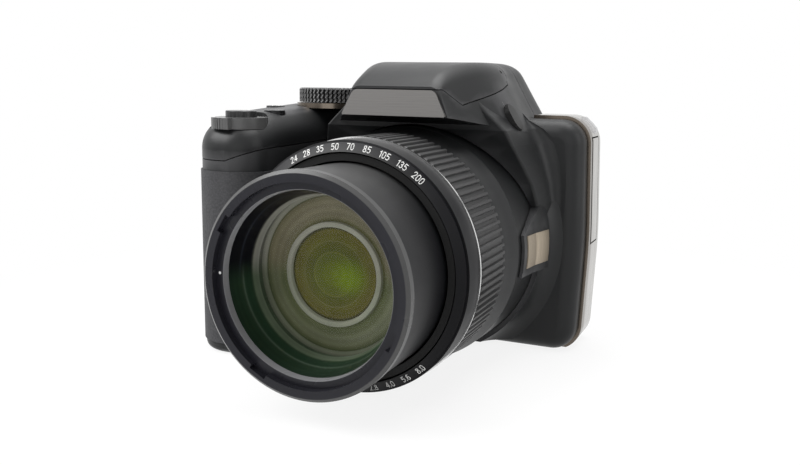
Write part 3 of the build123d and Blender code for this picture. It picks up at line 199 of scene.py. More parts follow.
PEBBLES = 1500.0              # pebbles per metre on rubber
PEBBLE_WARP = 0.35            # scale of the noise that bends the pebbles, as a share of theirs
PEBBLE_SHIFT = 0.4            # how far it bends them, in pebbles
PEBBLE_BLEND = 0.4            # how softly they meet
PEBBLE_TONES = (1.25, 0.6)    # shares of the colour on top of a pebble and between pebbles
PEBBLE_DEPTH = 0.08 * MM
RUBBER_CLOUDS = 120.0
RUBBER_ROUGH = (0.6, 0.75)
RUBBER_GLOSS = 0.4

STREAK_TONE = 0.82            # share of a metal's colour in its darkest streaks
STREAK_ROUGH = (0.8, 1.2)     # shares of its roughness in the smoothest and the roughest streaks

HAZE = 60.0                   # cycles per metre of slow changes of tone in glass
GLASS_HAZE = (0.2, 0.95)      # how far it mixes, and the share of the colour that it mixes in
COAT_ROUGH = 0.02
COAT_IOR = 1.5
THIN_HAZE = (0.3, 0.8)
THIN_ROUGH = 0.02

# Painted reflections and a painted glow inside the lens
COATING_GLOSS = 0.2
REFLECTION_TURN = (33 * MM, 40 * MM)     # heights between which the lower painted reflection colours give way to the upper ones
COATING_LINES = (0.88, 1.05)          # shares of the colour on dark and on light lines
COATING_CLOUDS = 70.0
COATING_RANGE = (0.8, 1.15)           # shares of the colour in dark and in light clouds

# Painted reflection rings, a painted glint and a painted glow on the second lens
CENTRE_PITCH = 2.3 * MM
CENTRE_LINES = (0.94, 1.04)
CENTRE_CLOUDS = 110.0
CENTRE_RANGE = (0.85, 1.12)
CENTRE_GLOW = 0.55
CENTRE_ROUGH = 0.12
GLINT_REACH = 6.5 * MM        # where the glint begins, and where it is full
GLINT_CORE = 1.0 * MM


def shade(colour, share):
    """A share of a colour."""
    return tuple(part * share for part in colour)


def moulded(name, colour, edge, rough=(0.42, 0.52), grain=5200.0, depth=0.012 * MM, specular=0.22):
    """Moulded plastic: fine spark-eroded grain, cloudy roughness and paler worn edges."""
    material, tree, shader = new_material(name)
    pointed = add(tree, "ShaderNodeNewGeometry").outputs["Pointiness"]
    worn = mixed(tree, remap(tree, pointed, *WEAR), colour, edge)
    cloud = noise(tree, CLOUDS, CLOUDY)
    tint = mixed(tree, span(tree, cloud, 0.0, CLOUD_DEPTH), WHITE, CLOUD_TINT)
    dress(tree, shader, Base_Color=mixed(tree, 1.0, worn, tint, "MULTIPLY"),
          Roughness=span(tree, cloud, *rough), Specular_IOR_Level=specular)
    bump(tree, shader, noise(tree, grain, SOFT), depth)
    return material


def knurled(name, colour, edge, centre, count, pitch):
    """Moulded plastic with crossed cuts round an upright axis."""
    material = moulded(name, colour, edge, rough=KNURL_ROUGH)
    tree = material.node_tree
    point = axes(tree, vectors(tree, "SUBTRACT", place(tree), centre))
    turn = maths(tree, "ARCTAN2", point["Y"], point["X"])
    round_cuts = maths(tree, "SINE", maths(tree, "MULTIPLY", turn, count))
    level_cuts = maths(tree, "SINE", maths(tree, "MULTIPLY", point["Z"], 2 * math.pi / pitch))
    height = maths(tree, "MULTIPLY", round_cuts, level_cuts)
    bump(tree, tree.nodes["Principled BSDF"], height, KNURL_DEPTH)
    return material


def pebbled(name, colour):
    """Rubber with a fine pebble grain."""
    material, tree, shader = new_material(name)
    warp = noise(tree, PEBBLES * PEBBLE_WARP, SOFT, "Color")
    shifted = vectors(tree, "MULTIPLY_ADD", warp, (PEBBLE_SHIFT / PEBBLES,) * 3, place(tree))
    pebble = add(tree, "ShaderNodeTexVoronoi", feature="SMOOTH_F1", Vector=shifted, Scale=PEBBLES,
                 Smoothness=PEBBLE_BLEND).outputs["Distance"]
    light, dark = (shade(colour, share) for share in PEBBLE_TONES)
    dress(tree, shader, Base_Color=mixed(tree, pebble, light, dark),
          Roughness=span(tree, noise(tree, RUBBER_CLOUDS, RICH), *RUBBER_ROUGH),
          Specular_IOR_Level=RUBBER_GLOSS)
    bump(tree, shader, maths(tree, "SUBTRACT", 1.0, pebble), PEBBLE_DEPTH)
    return material


def metal(name, colour, rough, brush=(1.0, 1.0, 1.0), grain=2500.0, depth=0.004 * MM):
    """Metal or metallic paint with fine streaks along one direction."""
    material, tree, shader = new_material(name)
    stretched = add(tree, "ShaderNodeMapping", Scale=brush, Vector=place(tree)).outputs["Vector"]
    streak = add(tree, "ShaderNodeTexNoise", Vector=stretched, Scale=grain, Detail=CLOUDY).outputs["Fac"]
    dark = shade(colour, STREAK_TONE)
    dress(tree, shader, Metallic=1.0, Base_Color=mixed(tree, span(tree, streak, 0.0, 1.0), colour, dark),
          Roughness=span(tree, streak, *(rough * share for share in STREAK_ROUGH)))
    bump(tree, shader, streak, depth)
    return material


def hazy(tree, colour, reach, share):
    """A colour that fades slowly towards a share of itself."""
    haze = span(tree, noise(tree, HAZE, SOFT), 0.0, reach)
    return mixed(tree, haze, colour, shade(colour, share))


def glass(name, colour, rough, ior):
    """Clear glass or plastic with a coated reflection."""
    material, tree, shader = new_material(name)
    dress(tree, shader, Base_Color=hazy(tree, colour, *GLASS_HAZE), Roughness=rough, IOR=ior,
          Transmission_Weight=1.0, Coat_Weight=1.0, Coat_Roughness=COAT_ROUGH, Coat_IOR=COAT_IOR)
    return material


def thin_glass(name, colour, alpha):
    """Coated glass that lets most of the light straight through."""
    material, tree, shader = new_material(name)
    dress(tree, shader, Base_Color=hazy(tree, colour, *THIN_HAZE), Roughness=THIN_ROUGH, Alpha=alpha)
    return material


def coated(tree, shader, colour, clouds, glow, rough):
    """Gives a shader a cloudy coating colour, fed also to its emission as a faint painted glow that stands in
    for light inside the lens.
    """
    clouded = scaled(tree, colour, clouds)
    dress(tree, shader, Base_Color=clouded, Emission_Color=clouded, Emission_Strength=glow,
          Roughness=rough, Specular_IOR_Level=COATING_GLOSS)


def painted_reflection_rings(name, upper, lower, pitch, rough, glow):
    """A dark optical part painted with coating reflections: rings of one set of colours above and one below,
    crossed by fine painted reflection lines, with a painted glow.
    """
    material, tree, shader = new_material(name)
    radius = axis_radius(tree)
    bottom, top = (ring_ramp(tree, radius, stops) for stops in (lower, upper))
    rings = mixed(tree, along(tree, "Z", *REFLECTION_TURN), bottom, top)
    lined = scaled(tree, rings, fine_rings(tree, radius, pitch, *COATING_LINES))
    clouds = span(tree, noise(tree, COATING_CLOUDS, CLOUDY), *COATING_RANGE)
    coated(tree, shader, lined, clouds, glow, rough)
    return material


def centre_glass(name, stops, glint, centre):
    """The second lens: painted reflection rings and one soft painted reflection of another colour, with a
    painted glow.
    """
    material, tree, shader = new_material(name)
    radius = axis_radius(tree)
    away = vectors(tree, "DISTANCE", place(tree), centre, output="Value")
    fade = remap(tree, away, GLINT_REACH, GLINT_CORE, shape="SMOOTHSTEP")
    rings = mixed(tree, fade, ring_ramp(tree, radius, stops), glint)
    lined = scaled(tree, rings, fine_rings(tree, radius, CENTRE_PITCH, *CENTRE_LINES))
    clouds = span(tree, noise(tree, CENTRE_CLOUDS, CLOUDY), *CENTRE_RANGE)
    coated(tree, shader, lined, clouds, CENTRE_GLOW, CENTRE_ROUGH)
    return material


def toned(material, factor, tone):
    """Lays a second colour over a material where a factor is one."""
    tree = material.node_tree
    base = tree.nodes["Principled BSDF"].inputs["Base Color"]
    under = base.links[0].from_socket
    tree.links.new(mixed(tree, factor, under, tone), base)


# Plastics and rubbers

PLASTICS = {
    "black_plastic": dict(colour=(0.0125, 0.0130, 0.0135), edge=(0.05, 0.05, 0.052), rough=(0.36, 0.44)),
    "lens_paint": dict(colour=(0.0130, 0.0135, 0.0140), edge=(0.05, 0.05, 0.05), rough=(0.34, 0.40),
                       grain=7000.0, depth=0.006 * MM),
    "bezel_paint": dict(colour=(0.034, 0.034, 0.036), edge=(0.05, 0.05, 0.05), rough=(0.40, 0.46),
                        grain=7000.0, depth=0.002 * MM, specular=0.12),
    "barrel_paint": dict(colour=(0.030, 0.030, 0.030), edge=(0.036, 0.036, 0.036), rough=(0.38, 0.44),
                         grain=9000.0, depth=0.002 * MM),
    "rim_paint": dict(colour=(0.013, 0.013, 0.017), edge=(0.016, 0.016, 0.020), rough=(0.26, 0.32),
                      grain=9000.0, depth=0.0004 * MM),
    "cell_paint": dict(colour=(0.004, 0.004, 0.005), edge=(0.01, 0.01, 0.01), rough=(0.5, 0.6)),
    "button_plastic": dict(colour=(0.016, 0.016, 0.017), edge=(0.1, 0.1, 0.1), rough=(0.22, 0.30),
                           grain=6000.0, depth=0.003 * MM),
    "key_black": dict(colour=(0.003, 0.003, 0.0035), edge=(0.02, 0.02, 0.02), rough=(0.3, 0.4),
                      specular=0.06),
    "rib_rubber": dict(colour=(0.012, 0.012, 0.013), edge=(0.06, 0.06, 0.06)),
    "smooth_rubber": dict(colour=(0.012, 0.012, 0.013), edge=(0.07, 0.07, 0.07), rough=(0.46, 0.56)),
    "screen_gloss": dict(colour=(0.006, 0.006, 0.008), edge=(0.01, 0.01, 0.01), rough=(0.05, 0.08),
                         depth=0.0005 * MM),
    "board_green": dict(colour=(0.02, 0.14, 0.05), edge=(0.1, 0.3, 0.1), rough=(0.3, 0.4)),
    "nylon": dict(colour=(0.8, 0.79, 0.74), edge=(0.85, 0.85, 0.8), rough=(0.4, 0.5)),
    "battery_case": dict(colour=(0.12, 0.12, 0.13), edge=(0.2, 0.2, 0.2), rough=(0.4, 0.5)),
    "print_white": dict(colour=(0.78, 0.78, 0.76), edge=(0.8, 0.8, 0.8), rough=(0.5, 0.6), depth=0.001 * MM),
    "print_red": dict(colour=(0.45, 0.02, 0.02), edge=(0.5, 0.05, 0.05), rough=(0.4, 0.5), depth=0.001 * MM),
}
looks = {name: moulded(name, **values) for name, values in PLASTICS.items()}
looks["grip_rubber"] = pebbled("grip_rubber", (0.036, 0.036, 0.039))

DIAL_X = -41 * MM
DIAL_Y = -8 * MM
DIAL_CUTS = 48
DIAL_CUT_PITCH = 1.6 * MM
looks["dial_plastic"] = knurled("dial_plastic", (0.010, 0.010, 0.011), (0.16, 0.16, 0.16),
                                (DIAL_X, DIAL_Y, 0), DIAL_CUTS, DIAL_CUT_PITCH)


# Metals

METALS = {
    "silver_paint": dict(colour=(0.46, 0.45, 0.43), rough=0.22, brush=(1, 1, 0.05), grain=1800.0),
    "bright_metal": dict(colour=(0.86, 0.86, 0.86), rough=0.14),
    "steel": dict(colour=(0.55, 0.55, 0.56), rough=0.3),
    "brass": dict(colour=(0.75, 0.58, 0.28), rough=0.28),
    "bronze": dict(colour=(0.46, 0.39, 0.30), rough=0.34, brush=(1, 1, 0.04), grain=2400.0, depth=0.006 * MM),
    "plate_finish": dict(colour=(0.17, 0.165, 0.16), rough=0.40, brush=(0.03, 1, 1), grain=3000.0),
}
looks |= {name: metal(name, **values) for name, values in METALS.items()}


# Glass, and coatings with painted reflections and a painted glow

looks["clear_plastic"] = glass("clear_plastic", (0.92, 0.92, 0.94), rough=0.05, ior=1.2)
looks["lamp_glass"] = glass("lamp_glass", (0.30, 0.22, 0.20), rough=0.1, ior=1.3)
looks["front_glass"] = thin_glass("front_glass", (0.02, 0.03, 0.012), alpha=0.10)

# Stops are millimetres from the lens axis and a colour: painted reflections and thin painted highlight rings,
# one set above the axis and one below
CONE_ABOVE = [
    (0.0, (0.05, 0.05, 0.05)), (21.9, (0.15, 0.15, 0.13)), (22.15, (0.13, 0.13, 0.11)),
    (22.3, (0.002, 0.002, 0.004)), (23.1, (0.002, 0.002, 0.004)), (23.2, (0.012, 0.014, 0.020)),
    (23.3, (0.002, 0.002, 0.004)), (24.6, (0.001, 0.001, 0.003)), (30.0, (0.006, 0.006, 0.007)),
]
CONE_BELOW = [
    (0.0, (0.05, 0.06, 0.05)), (21.9, (0.07, 0.09, 0.06)), (22.15, (0.06, 0.08, 0.05)),
    (22.3, (0.008, 0.022, 0.011)), (22.9, (0.009, 0.022, 0.012)), (23.0, (0.05, 0.07, 0.05)),
    (23.1, (0.008, 0.019, 0.010)), (24.6, (0.005, 0.011, 0.007)), (30.0, (0.005, 0.006, 0.006)),
]
OLIVE_ABOVE = [
    (0.0, (0.10, 0.10, 0.05)), (12.85, (0.20, 0.20, 0.16)), (14.1, (0.22, 0.22, 0.18)),
    (14.3, (0.060, 0.060, 0.020)), (15.6, (0.110, 0.100, 0.060)), (18.0, (0.125, 0.112, 0.072)),
    (20.7, (0.110, 0.100, 0.060)), (21.0, (0.040, 0.040, 0.020)), (21.3, (0.15, 0.15, 0.12)),
    (21.9, (0.17, 0.17, 0.14)), (30.0, (0.02, 0.02, 0.02)),
]
OLIVE_BELOW = [
    (0.0, (0.08, 0.09, 0.03)), (12.85, (0.19, 0.20, 0.15)), (14.1, (0.20, 0.21, 0.16)),
    (14.3, (0.045, 0.052, 0.018)), (15.6, (0.070, 0.080, 0.034)), (18.0, (0.100, 0.108, 0.064)),
    (19.6, (0.085, 0.092, 0.052)), (20.7, (0.060, 0.068, 0.032)), (21.0, (0.030, 0.036, 0.014)),
    (21.3, (0.09, 0.10, 0.07)), (21.9, (0.11, 0.12, 0.085)), (30.0, (0.02, 0.02, 0.02)),
]
# painted reflection rings of the second lens
CENTRE_RINGS = [
    (0.0, (0.075, 0.095, 0.004)), (3.0, (0.060, 0.074, 0.004)), (5.6, (0.052, 0.060, 0.006)),
    (6.0, (0.085, 0.092, 0.014)), (6.4, (0.046, 0.052, 0.005)), (8.7, (0.056, 0.056, 0.006)),
    (9.0, (0.085, 0.085, 0.022)), (9.3, (0.060, 0.058, 0.007)), (11.9, (0.070, 0.062, 0.010)),
    (12.4, (0.030, 0.030, 0.010)), (12.8, (0.035, 0.035, 0.015)),
]
GLINT_GREEN = (0.085, 0.125, 0.002)
GLINT_CENTRE = (4.6 * MM, -81.3 * MM, 35.6 * MM)

# painted reflections, painted highlight rings and a painted glow on the lens cone and the inner cell
looks["cone_black"] = painted_reflection_rings("cone_black", CONE_ABOVE, CONE_BELOW, pitch=0.4 * MM,
                                   rough=0.34, glow=0.3)
looks["olive_reflection"] = painted_reflection_rings("olive_reflection", OLIVE_ABOVE, OLIVE_BELOW, pitch=2.1 * MM,
                                      rough=0.30, glow=0.5)
looks["second_glass"] = centre_glass("second_glass", CENTRE_RINGS, GLINT_GREEN, GLINT_CENTRE)


# Painted shade and painted highlights laid over the finishes

SHADE_AND_HIGHLIGHT_ALONG = (
    # finish, axis, where the tone starts, where it is full, its colour: painted shade or painted highlight
    # painted shade: the bezel's face darkens towards the right-hand side, away from the light
    ("bezel_paint", "X", 0, 33 * MM, (0.004, 0.004, 0.005)),
    # painted shade: the front barrel darkens towards the right-hand side
    ("barrel_paint", "X", 4 * MM, 30 * MM, (0.004, 0.004, 0.005)),
    # painted highlight: the front tips of the ribs turn pale grey
    ("rib_rubber", "Y", -64.2 * MM, -65.1 * MM, (0.16, 0.16, 0.155)),
    # painted shade: the silver parts turn dark brown towards the front, in the seam by the front cover
    ("silver_paint", "Y", 2.4 * MM, -0.5 * MM, (0.13, 0.11, 0.09)),
)
HIGHLIGHT_RINGS = (
    # finish, distance from the lens axis, half width, colour: painted highlights on the rim's chamfer and its
    # bore edge
    ("rim_paint", 29.1 * MM, 0.7 * MM, (0.060, 0.060, 0.060)),
    ("rim_paint", 24.2 * MM, 0.35 * MM, (0.20, 0.20, 0.21)),
)
for name, axis, start, stop, tone in SHADE_AND_HIGHLIGHT_ALONG:
    toned(looks[name], along(looks[name].node_tree, axis, start, stop), tone)
for name, radius, width, tone in HIGHLIGHT_RINGS:
    toned(looks[name], near_radius(looks[name].node_tree, radius, width), tone)


# Which pieces wear which finish

FINISHES = {
    "black_plastic": ("front_cover", "rear_cover", "top_cover", "flash_lid", "battery_door"),
    "silver_paint": ("side_band", "port_door", "dial_seat"),
    "grip_rubber": ("grip_rubber", "thumb_rest"),
    "plate_finish": ("front_plate",),
    "bronze": ("badge_plate",),
    "lens_paint": ("lens_collar",),
    "rib_rubber": ("ribbed_ring",),
    "bright_metal": ("silver_ring", "flash_reflector"),
    "bezel_paint": ("bezel_ring",),
    "rim_paint": ("front_rim",),
    "barrel_paint": ("front_barrel",),
    "cone_black": ("front_cell",),
    "front_glass": ("front_lens",),
    "olive_reflection": ("inner_cell",),
    "second_glass": ("second_lens",),
    "cell_paint": ("iris_unit", "focus_cell", "lens_base", "viewfinder_tube", "battery_box", "middle_barrel"),
    "clear_plastic": ("focus_lens", "flash_window", "eyepiece_lens"),
    "steel": ("guide_rods", "hinge_pin", "strap_lugs", "chassis", "zoom_motor", "cover_screws"),
    "key_black": ("flash_button",),
    "button_plastic": ("port_sockets", "zoom_lever", "shutter_button", "direction_pad", "set_button",
                       "dioptre_wheel", "menu_button", "play_button", "video_button", "top_button",
                       "power_button"),
    "dial_plastic": ("mode_dial",),
    "lamp_glass": ("focus_lamp",),
    "screen_gloss": ("screen_panel", "image_sensor", "screen_glass"),
    "smooth_rubber": ("eyecup",),
    "brass": ("tripod_socket",),
    "board_green": ("main_board",),
    "nylon": ("drive_gear",),
    "battery_case": ("battery",),
}
for finish, pieces in FINISHES.items():
    for piece in pieces:
        slots = nodes[piece].data.materials
        slots.clear()
        slots.append(looks[finish])


# Printed marks: plain numbers and symbols laid on the surfaces

MARK_LIFT = 0.02 * MM         # how far ink stands off the surface
PROBE_REACH = 30 * MM         # how far in front of a place a surface is looked for
STROKE = 0.13                 # stroke width as a share of a digit's height
DIGITS = {
    "0": [[(0.05, 0.25), (0.05, 0.75), (0.15, 0.95), (0.30, 1.0), (0.45, 0.95), (0.55, 0.75),
           (0.55, 0.25), (0.45, 0.05), (0.30, 0.0), (0.15, 0.05), (0.05, 0.25)]],
    "1": [[(0.12, 0.80), (0.32, 1.0), (0.32, 0.0)]],
    "2": [[(0.06, 0.78), (0.15, 0.95), (0.30, 1.0), (0.47, 0.93), (0.54, 0.75), (0.46, 0.55),
           (0.06, 0.0), (0.56, 0.0)]],
    "3": [[(0.06, 0.85), (0.28, 1.0), (0.50, 0.88), (0.50, 0.65), (0.28, 0.53), (0.52, 0.40),
           (0.54, 0.17), (0.30, 0.0), (0.05, 0.13)]],
    "4": [[(0.44, 0.0), (0.44, 1.0), (0.04, 0.28), (0.58, 0.28)]],
    "5": [[(0.52, 1.0), (0.12, 1.0), (0.08, 0.56), (0.30, 0.62), (0.50, 0.52), (0.56, 0.30),
           (0.46, 0.07), (0.26, 0.0), (0.05, 0.10)]],
    "6": [[(0.48, 0.93), (0.30, 1.0), (0.12, 0.85), (0.05, 0.40), (0.12, 0.10), (0.30, 0.0),
           (0.48, 0.08), (0.55, 0.30), (0.46, 0.52), (0.28, 0.58), (0.08, 0.42)]],
    "7": [[(0.04, 1.0), (0.56, 1.0), (0.22, 0.0)]],
    "8": [[(0.30, 0.54), (0.10, 0.70), (0.12, 0.92), (0.30, 1.0), (0.48, 0.92), (0.50, 0.70),
           (0.30, 0.54), (0.06, 0.35), (0.08, 0.08), (0.30, 0.0), (0.52, 0.08), (0.54, 0.35),
           (0.30, 0.54)]],
    ".": [[(0.10, 0.0), (0.10, 0.10)]],
}
ADVANCE = {"1": 0.60, ".": 0.30}
USUAL_ADVANCE = 0.78


def ribbon(points, width):
    """Quads of a given width along a flat line of points, with caps that overlap at bends."""
    quads = []
    for (ax, ay), (bx, by) in zip(points, points[1:]):
        length = math.hypot(bx - ax, by - ay)
        ux, uy = (bx - ax) / length * width / 2, (by - ay) / length * width / 2
        quads.append([(ax - ux - uy, ay - uy + ux), (ax - ux + uy, ay - uy - ux),
                      (bx + ux + uy, by + uy - ux), (bx + ux - uy, by + uy + ux)])
    return quads


def number(text, height):
    """The quads of a number, centred over a baseline at zero."""
    quads, across = [], 0.0
    for sign in text:
        for line in DIGITS[sign]:
            quads += ribbon([((x + across) * height, y * height) for x, y in line], STROKE * height)
        across += ADVANCE.get(sign, USUAL_ADVANCE)
    shift = across * height / 2
    return [[(x - shift, y) for x, y in quad] for quad in quads]


def disc(radius, inner=0.0, steps=24):
    """A round dot or a ring as quads."""
    quads = []
    for i in range(steps):
        a, b = 2 * math.pi * i / steps, 2 * math.pi * (i + 1) / steps
        corners = ((inner, a), (radius, a), (radius, b), (inner, b))
        quads.append([(r * math.cos(t), r * math.sin(t)) for r, t in corners])
    return quads


def in_mm(outline):
    """A flat outline given in millimetres, in metres."""
    return [(x * MM, y * MM) for x, y in outline]


def mark(name, outlines, lay, body, ink="print_white"):
    """A printed mark: flat outlines laid on a surface by a function."""
    points, faces = [], []
    for outline in outlines:
        faces.append(tuple(range(len(points), len(points) + len(outline))))
        points += [lay(x, y) for x, y in outline]
    mesh = bpy.data.meshes.new(name)
    mesh.from_pydata(points, [], faces)
    mesh.materials.append(looks[ink])
    piece = bpy.data.objects.new(name, mesh)
    bpy.context.scene.collection.objects.link(piece)
    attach(piece, body)


def onto(node, origin_mm, right, up):
    """A layer that lays flat points on a node, looking along the inward normal of right and up."""
    piece = nodes[node]
    points = [piece.matrix_world @ v.co for v in piece.data.vertices]
    tree = BVHTree.FromPolygons(points, [tuple(p.vertices) for p in piece.data.polygons])
    right, up = Vector(right).normalized(), Vector(up).normalized()
    inward = up.cross(right).normalized()
    start = Vector(origin_mm) * MM

    def lay(x, y):
        probe = start + right * x + up * y - inward * PROBE_REACH
        hit = tree.ray_cast(probe, inward)[0]
        return (hit if hit is not None else probe + inward * PROBE_REACH) - inward * MARK_LIFT
    return lay


BEZEL_BORE = 32.1 * MM        # inner edge of the bezel's sloping face
BEZEL_BORE_Y = -75.2 * MM
BEZEL_FALL = 1.2 / 2.5        # how far the face goes back for each step outward


def round_bezel(angle, radius, sign=1):
    """A layer for the sloping face of the bezel ring at an angle from the right-hand side."""
    def lay(x, y):
        r = radius + sign * y
        turn = math.radians(angle) - sign * x / radius
        y_place = BEZEL_BORE_Y + (r - BEZEL_BORE) * BEZEL_FALL
        return Vector((r * math.cos(turn), y_place - MARK_LIFT, AXIS_Z + r * math.sin(turn)))
    return lay


# Angles are degrees round the lens from the right-hand side
UPPER_NUMBERS = ((119, "24"), (111.5, "28"), (104, "35"), (96, "50"), (88, "70"), (79.5, "85"),
                 (70.5, "105"), (61, "135"), (51.5, "200"))
LOWER_NUMBERS = ((-75, "2.8"), (-66, "4.0"), (-57, "5.6"), (-48, "8.0"))
UPPER_RADIUS = 32.75 * MM
LOWER_RADIUS = 34.35 * MM
BEZEL_DIGITS = 1.55 * MM
RIM_DOT = 0.38 * MM
RIM_DOT_TURN = math.radians(178)
RIM_DOT_RADIUS = 25.4 * MM
RIM_DOT_Y = -97.0 * MM


def mark_lens():
    """The numbers on the bezel and the dot on the rim."""
    for i, (angle, text) in enumerate(UPPER_NUMBERS):
        mark(f"bezel_number_{i}", number(text, BEZEL_DIGITS), round_bezel(angle, UPPER_RADIUS), BODY)
    for i, (angle, text) in enumerate(LOWER_NUMBERS):
        mark(f"bezel_stop_{i}", number(text, BEZEL_DIGITS), round_bezel(angle, LOWER_RADIUS, -1), BODY)
    dot = Vector((RIM_DOT_RADIUS * math.cos(RIM_DOT_TURN), RIM_DOT_Y,
                  AXIS_Z + RIM_DOT_RADIUS * math.sin(RIM_DOT_TURN)))
    mark("rim_dot", disc(RIM_DOT), lambda x, y: dot + Vector((x, -MARK_LIFT, y)), ZOOM)


DIAL_DIGITS = 1.9 * MM
DIAL_NUMBERS = "12345678"
DIAL_NUMBER_RADIUS = 6.6      # in millimetres, as the places that onto takes
DIAL_TOP = 84.0


def mark_dial():
    """The numbers on the mode dial."""
    for i, text in enumerate(DIAL_NUMBERS):
        turn = math.pi / 2 - 2 * math.pi * i / len(DIAL_NUMBERS)
        outward = (math.cos(turn), math.sin(turn), 0)
        right = (math.sin(turn), -math.cos(turn), 0)
        origin = (DIAL_X / MM + DIAL_NUMBER_RADIUS * outward[0],
                  DIAL_Y / MM + DIAL_NUMBER_RADIUS * outward[1], DIAL_TOP)
        mark(f"dial_number_{i}", number(text, DIAL_DIGITS), onto("mode_dial", origin, right, outward),
             "mode_dial_body")


# Symbols on the rear, in millimetres: places are x, y, z; outlines lie flat, seen from behind
REAR = ((-1, 0, 0), (0, 0, 1))
REAR_Y = 17
PLAY_PLACE = (-35.0, REAR_Y, 18.0)
MENU_PLACE = (-48.0, REAR_Y, 18.0)
VIDEO_PLACE = (-29.5, REAR_Y, 66.5)
PAD_PLACE = (-41.5, REAR_Y, 36.0)
PLAY_ARROW = ((-1.1, -1.3), (-1.1, 1.3), (1.3, 0))
PAD_ARROW = ((7.9, 0.0), (6.5, 0.9), (6.5, -0.9))
MENU_LINE_ENDS = (-1.3, 1.3)
MENU_LINE_HEIGHTS = (-1.0, 0.0, 1.0)
MENU_LINE_WIDTH = 0.32 * MM
VIDEO_DOT = 1.1 * MM


def mark_rear():
    """The symbols on the buttons of the rear."""
    mark("play_mark", [in_mm(PLAY_ARROW)], onto("play_button", PLAY_PLACE, *REAR), "play_button_body")
    lines = []
    for height in MENU_LINE_HEIGHTS:
        lines += ribbon(in_mm([(end, height) for end in MENU_LINE_ENDS]), MENU_LINE_WIDTH)
    mark("menu_mark", lines, onto("menu_button", MENU_PLACE, *REAR), "menu_button_body")
    mark("video_mark", disc(VIDEO_DOT), onto("video_button", VIDEO_PLACE, *REAR), "video_button_body",
         "print_red")
    for i in range(4):
        turn = math.pi / 2 * i
        c, s = math.cos(turn), math.sin(turn)
        arrow = in_mm([(x * c - y * s, x * s + y * c) for x, y in PAD_ARROW])
        mark(f"pad_arrow_{i}", [arrow], onto("direction_pad", PAD_PLACE, *REAR), "direction_pad_body")


BOLT = (((0.2, 1.5), (-0.8, -0.2), (0.1, -0.1), (0.5, 1.5)),
        ((0.8, 0.3), (-0.1, 0.2), (-0.5, -1.5), (-0.2, -1.5)))
BOLT_PLACE = (30, -21.5, 81.6)
BOLT_RIGHT = (0, 1, 0)
BOLT_UP = (-0.5, 0, 0.86)
POWER_PLACE = (-55.5, -22.0, 80)
POWER_RIGHT = (1, 0, 0)
POWER_UP = (0, 1, 0)
POWER_RING = 1.5 * MM
POWER_RING_INNER = 1.15 * MM


def mark_cover():
    """The lightning bolt by the flash button and the ring on the power button."""
    bolt = [in_mm(outline) for outline in BOLT]
    mark("bolt_mark", bolt, onto("front_cover", BOLT_PLACE, BOLT_RIGHT, BOLT_UP), BODY)
    mark("power_mark", disc(POWER_RING, POWER_RING_INNER),
         onto("power_button", POWER_PLACE, POWER_RIGHT, POWER_UP), "power_button_body")


mark_lens()
mark_dial()
mark_rear()
mark_cover()


# Stage, light and camera

LAMPS = {
    # place, target, width and height, watts
    "key": ((-0.5, -0.35, 0.65), (0, -0.03, 0.04), (0.6, 0.6), 9.5),
    "top": ((0.05, 0.1, 0.8), (0, -0.03, 0.04), (0.7, 0.5), 7.0),
    "side": ((0.75, -0.05, 0.3), (0.03, -0.02, 0.04), (0.35, 0.6), 1.6),
    "front": ((0.25, -0.9, 0.25), (0, -0.05, 0.04), (0.8, 0.5), 1.2),
}
FLOOR_HALF = 6.0
FLOOR_SHADE = 0.86            # how white the floor looks under the part
SHADE_NEAR = 0.06             # where it starts to grow whiter, and where it is fully white
SHADE_FAR = 0.20
FLOOR_WHITE = (0.9, 0.9, 0.9)
FLOOR_CLOUD = (0.88, 0.88, 0.88)
FLOOR_CLOUDS = 3.0
FLOOR_HAZE = 0.2
FLOOR_ROUGH = 0.9
WORLD_LIGHT = 0.07

# The photograph's view, from a fit to the lens rings, the base and the hump
CAMERA_PLACE = (0.1057, -0.2754, 0.0871)
CAMERA_TURNS = (24.10, 10.17, 0.88)     # azimuth, elevation and roll in degrees
SENSOR_WIDTH = 36.0
FOCUS_SHARE = 850.0 / 800.0             # focal length as a share of the picture's width
NEAR_CLIP = 0.01


def build_lamps():
    """Soft boxes that face their targets."""
    for name, (spot, target, size, watts) in LAMPS.items():
        data = bpy.data.lights.new(name, "AREA")
        data.shape = "RECTANGLE"
        data.size, data.size_y = size
        data.energy = watts
        lamp = bpy.data.objects.new(name, data)
        bpy.context.scene.collection.objects.link(lamp)
        lamp.location = spot
        lamp.rotation_euler = (Vector(target) - Vector(spot)).to_track_quat("-Z", "Y").to_euler()


def seen_ray(tree):
    """A factor that is one for rays that look at the background: direct, mirrored or through glass."""
    path = add(tree, "ShaderNodeLightPath").outputs
    mirrored = maths(tree, "MAXIMUM", path["Is Glossy Ray"], path["Is Transmission Ray"])
    return maths(tree, "MAXIMUM", path["Is Camera Ray"], mirrored)


def chosen(tree, factor, first, second, output):
    """Shows the second shader where a factor is one, and the first elsewhere."""
    choose = add(tree, "ShaderNodeMixShader")
    for socket, value in zip(choose.inputs, (factor, first.outputs[0], second.outputs[0])):
        tree.links.new(value, socket)
    tree.links.new(choose.outputs[0], tree.nodes[output].inputs["Surface"])


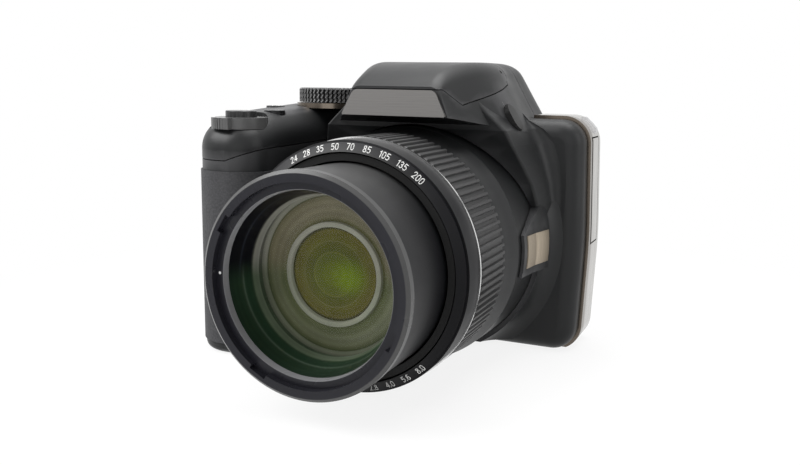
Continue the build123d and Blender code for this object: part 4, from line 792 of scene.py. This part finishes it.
def build_floor():
    """A white floor that keeps only a faint shadow under the part."""
    mesh = bpy.data.meshes.new("floor")
    corners = [(x * FLOOR_HALF, y * FLOOR_HALF, 0) for x, y in ((-1, -1), (1, -1), (1, 1), (-1, 1))]
    mesh.from_pydata(corners, [], [(0, 1, 2, 3)])
    floor = bpy.data.objects.new("floor", mesh)
    bpy.context.scene.collection.objects.link(floor)
    material, tree, shader = new_material("floor_white")
    cloud = span(tree, noise(tree, FLOOR_CLOUDS, RICH), 0.0, FLOOR_HAZE)
    dress(tree, shader, Base_Color=mixed(tree, cloud, FLOOR_WHITE, FLOOR_CLOUD), Roughness=FLOOR_ROUGH)
    glow = add(tree, "ShaderNodeEmission", Color=(*WHITE, 1))
    distance = vectors(tree, "LENGTH", place(tree), output="Value")
    far = remap(tree, distance, SHADE_NEAR, SHADE_FAR, FLOOR_SHADE, 1.0, "SMOOTHSTEP")
    chosen(tree, maths(tree, "MULTIPLY", seen_ray(tree), far), shader, glow, "Material Output")
    mesh.materials.append(material)


def build_world():
    """A plain studio world that shows white to the camera, to gloss and through glass."""
    world = bpy.data.worlds.new("studio")
    bpy.context.scene.world = world
    world.use_nodes = True
    tree = world.node_tree
    plain = tree.nodes["Background"]
    dress(tree, plain, Color=(*WHITE, 1), Strength=WORLD_LIGHT)
    seen = add(tree, "ShaderNodeBackground", Color=(*WHITE, 1), Strength=1.0)
    chosen(tree, seen_ray(tree), plain, seen, "World Output")


def build_camera():
    """The camera of the photograph."""
    azimuth, elevation, roll = (math.radians(v) for v in CAMERA_TURNS)
    level = math.cos(elevation)
    forward = Vector((-math.sin(azimuth) * level, math.cos(azimuth) * level, -math.sin(elevation)))
    right = Vector((math.cos(azimuth), math.sin(azimuth), 0))
    up = right.cross(forward)
    turned_right = math.cos(roll) * right + math.sin(roll) * up
    turned_up = -math.sin(roll) * right + math.cos(roll) * up
    data = bpy.data.cameras.new("photo_camera")
    data.sensor_width = SENSOR_WIDTH
    data.lens = FOCUS_SHARE * SENSOR_WIDTH
    data.clip_start = NEAR_CLIP
    camera = bpy.data.objects.new("photo_camera", data)
    bpy.context.scene.collection.objects.link(camera)
    turn = Matrix((turned_right, turned_up, -forward)).transposed().to_4x4()
    camera.matrix_world = Matrix.Translation(CAMERA_PLACE) @ turn
    bpy.context.scene.camera = camera


build_floor()
build_world()
build_lamps()
build_camera()
bpy.context.scene.view_settings.view_transform = "Standard"
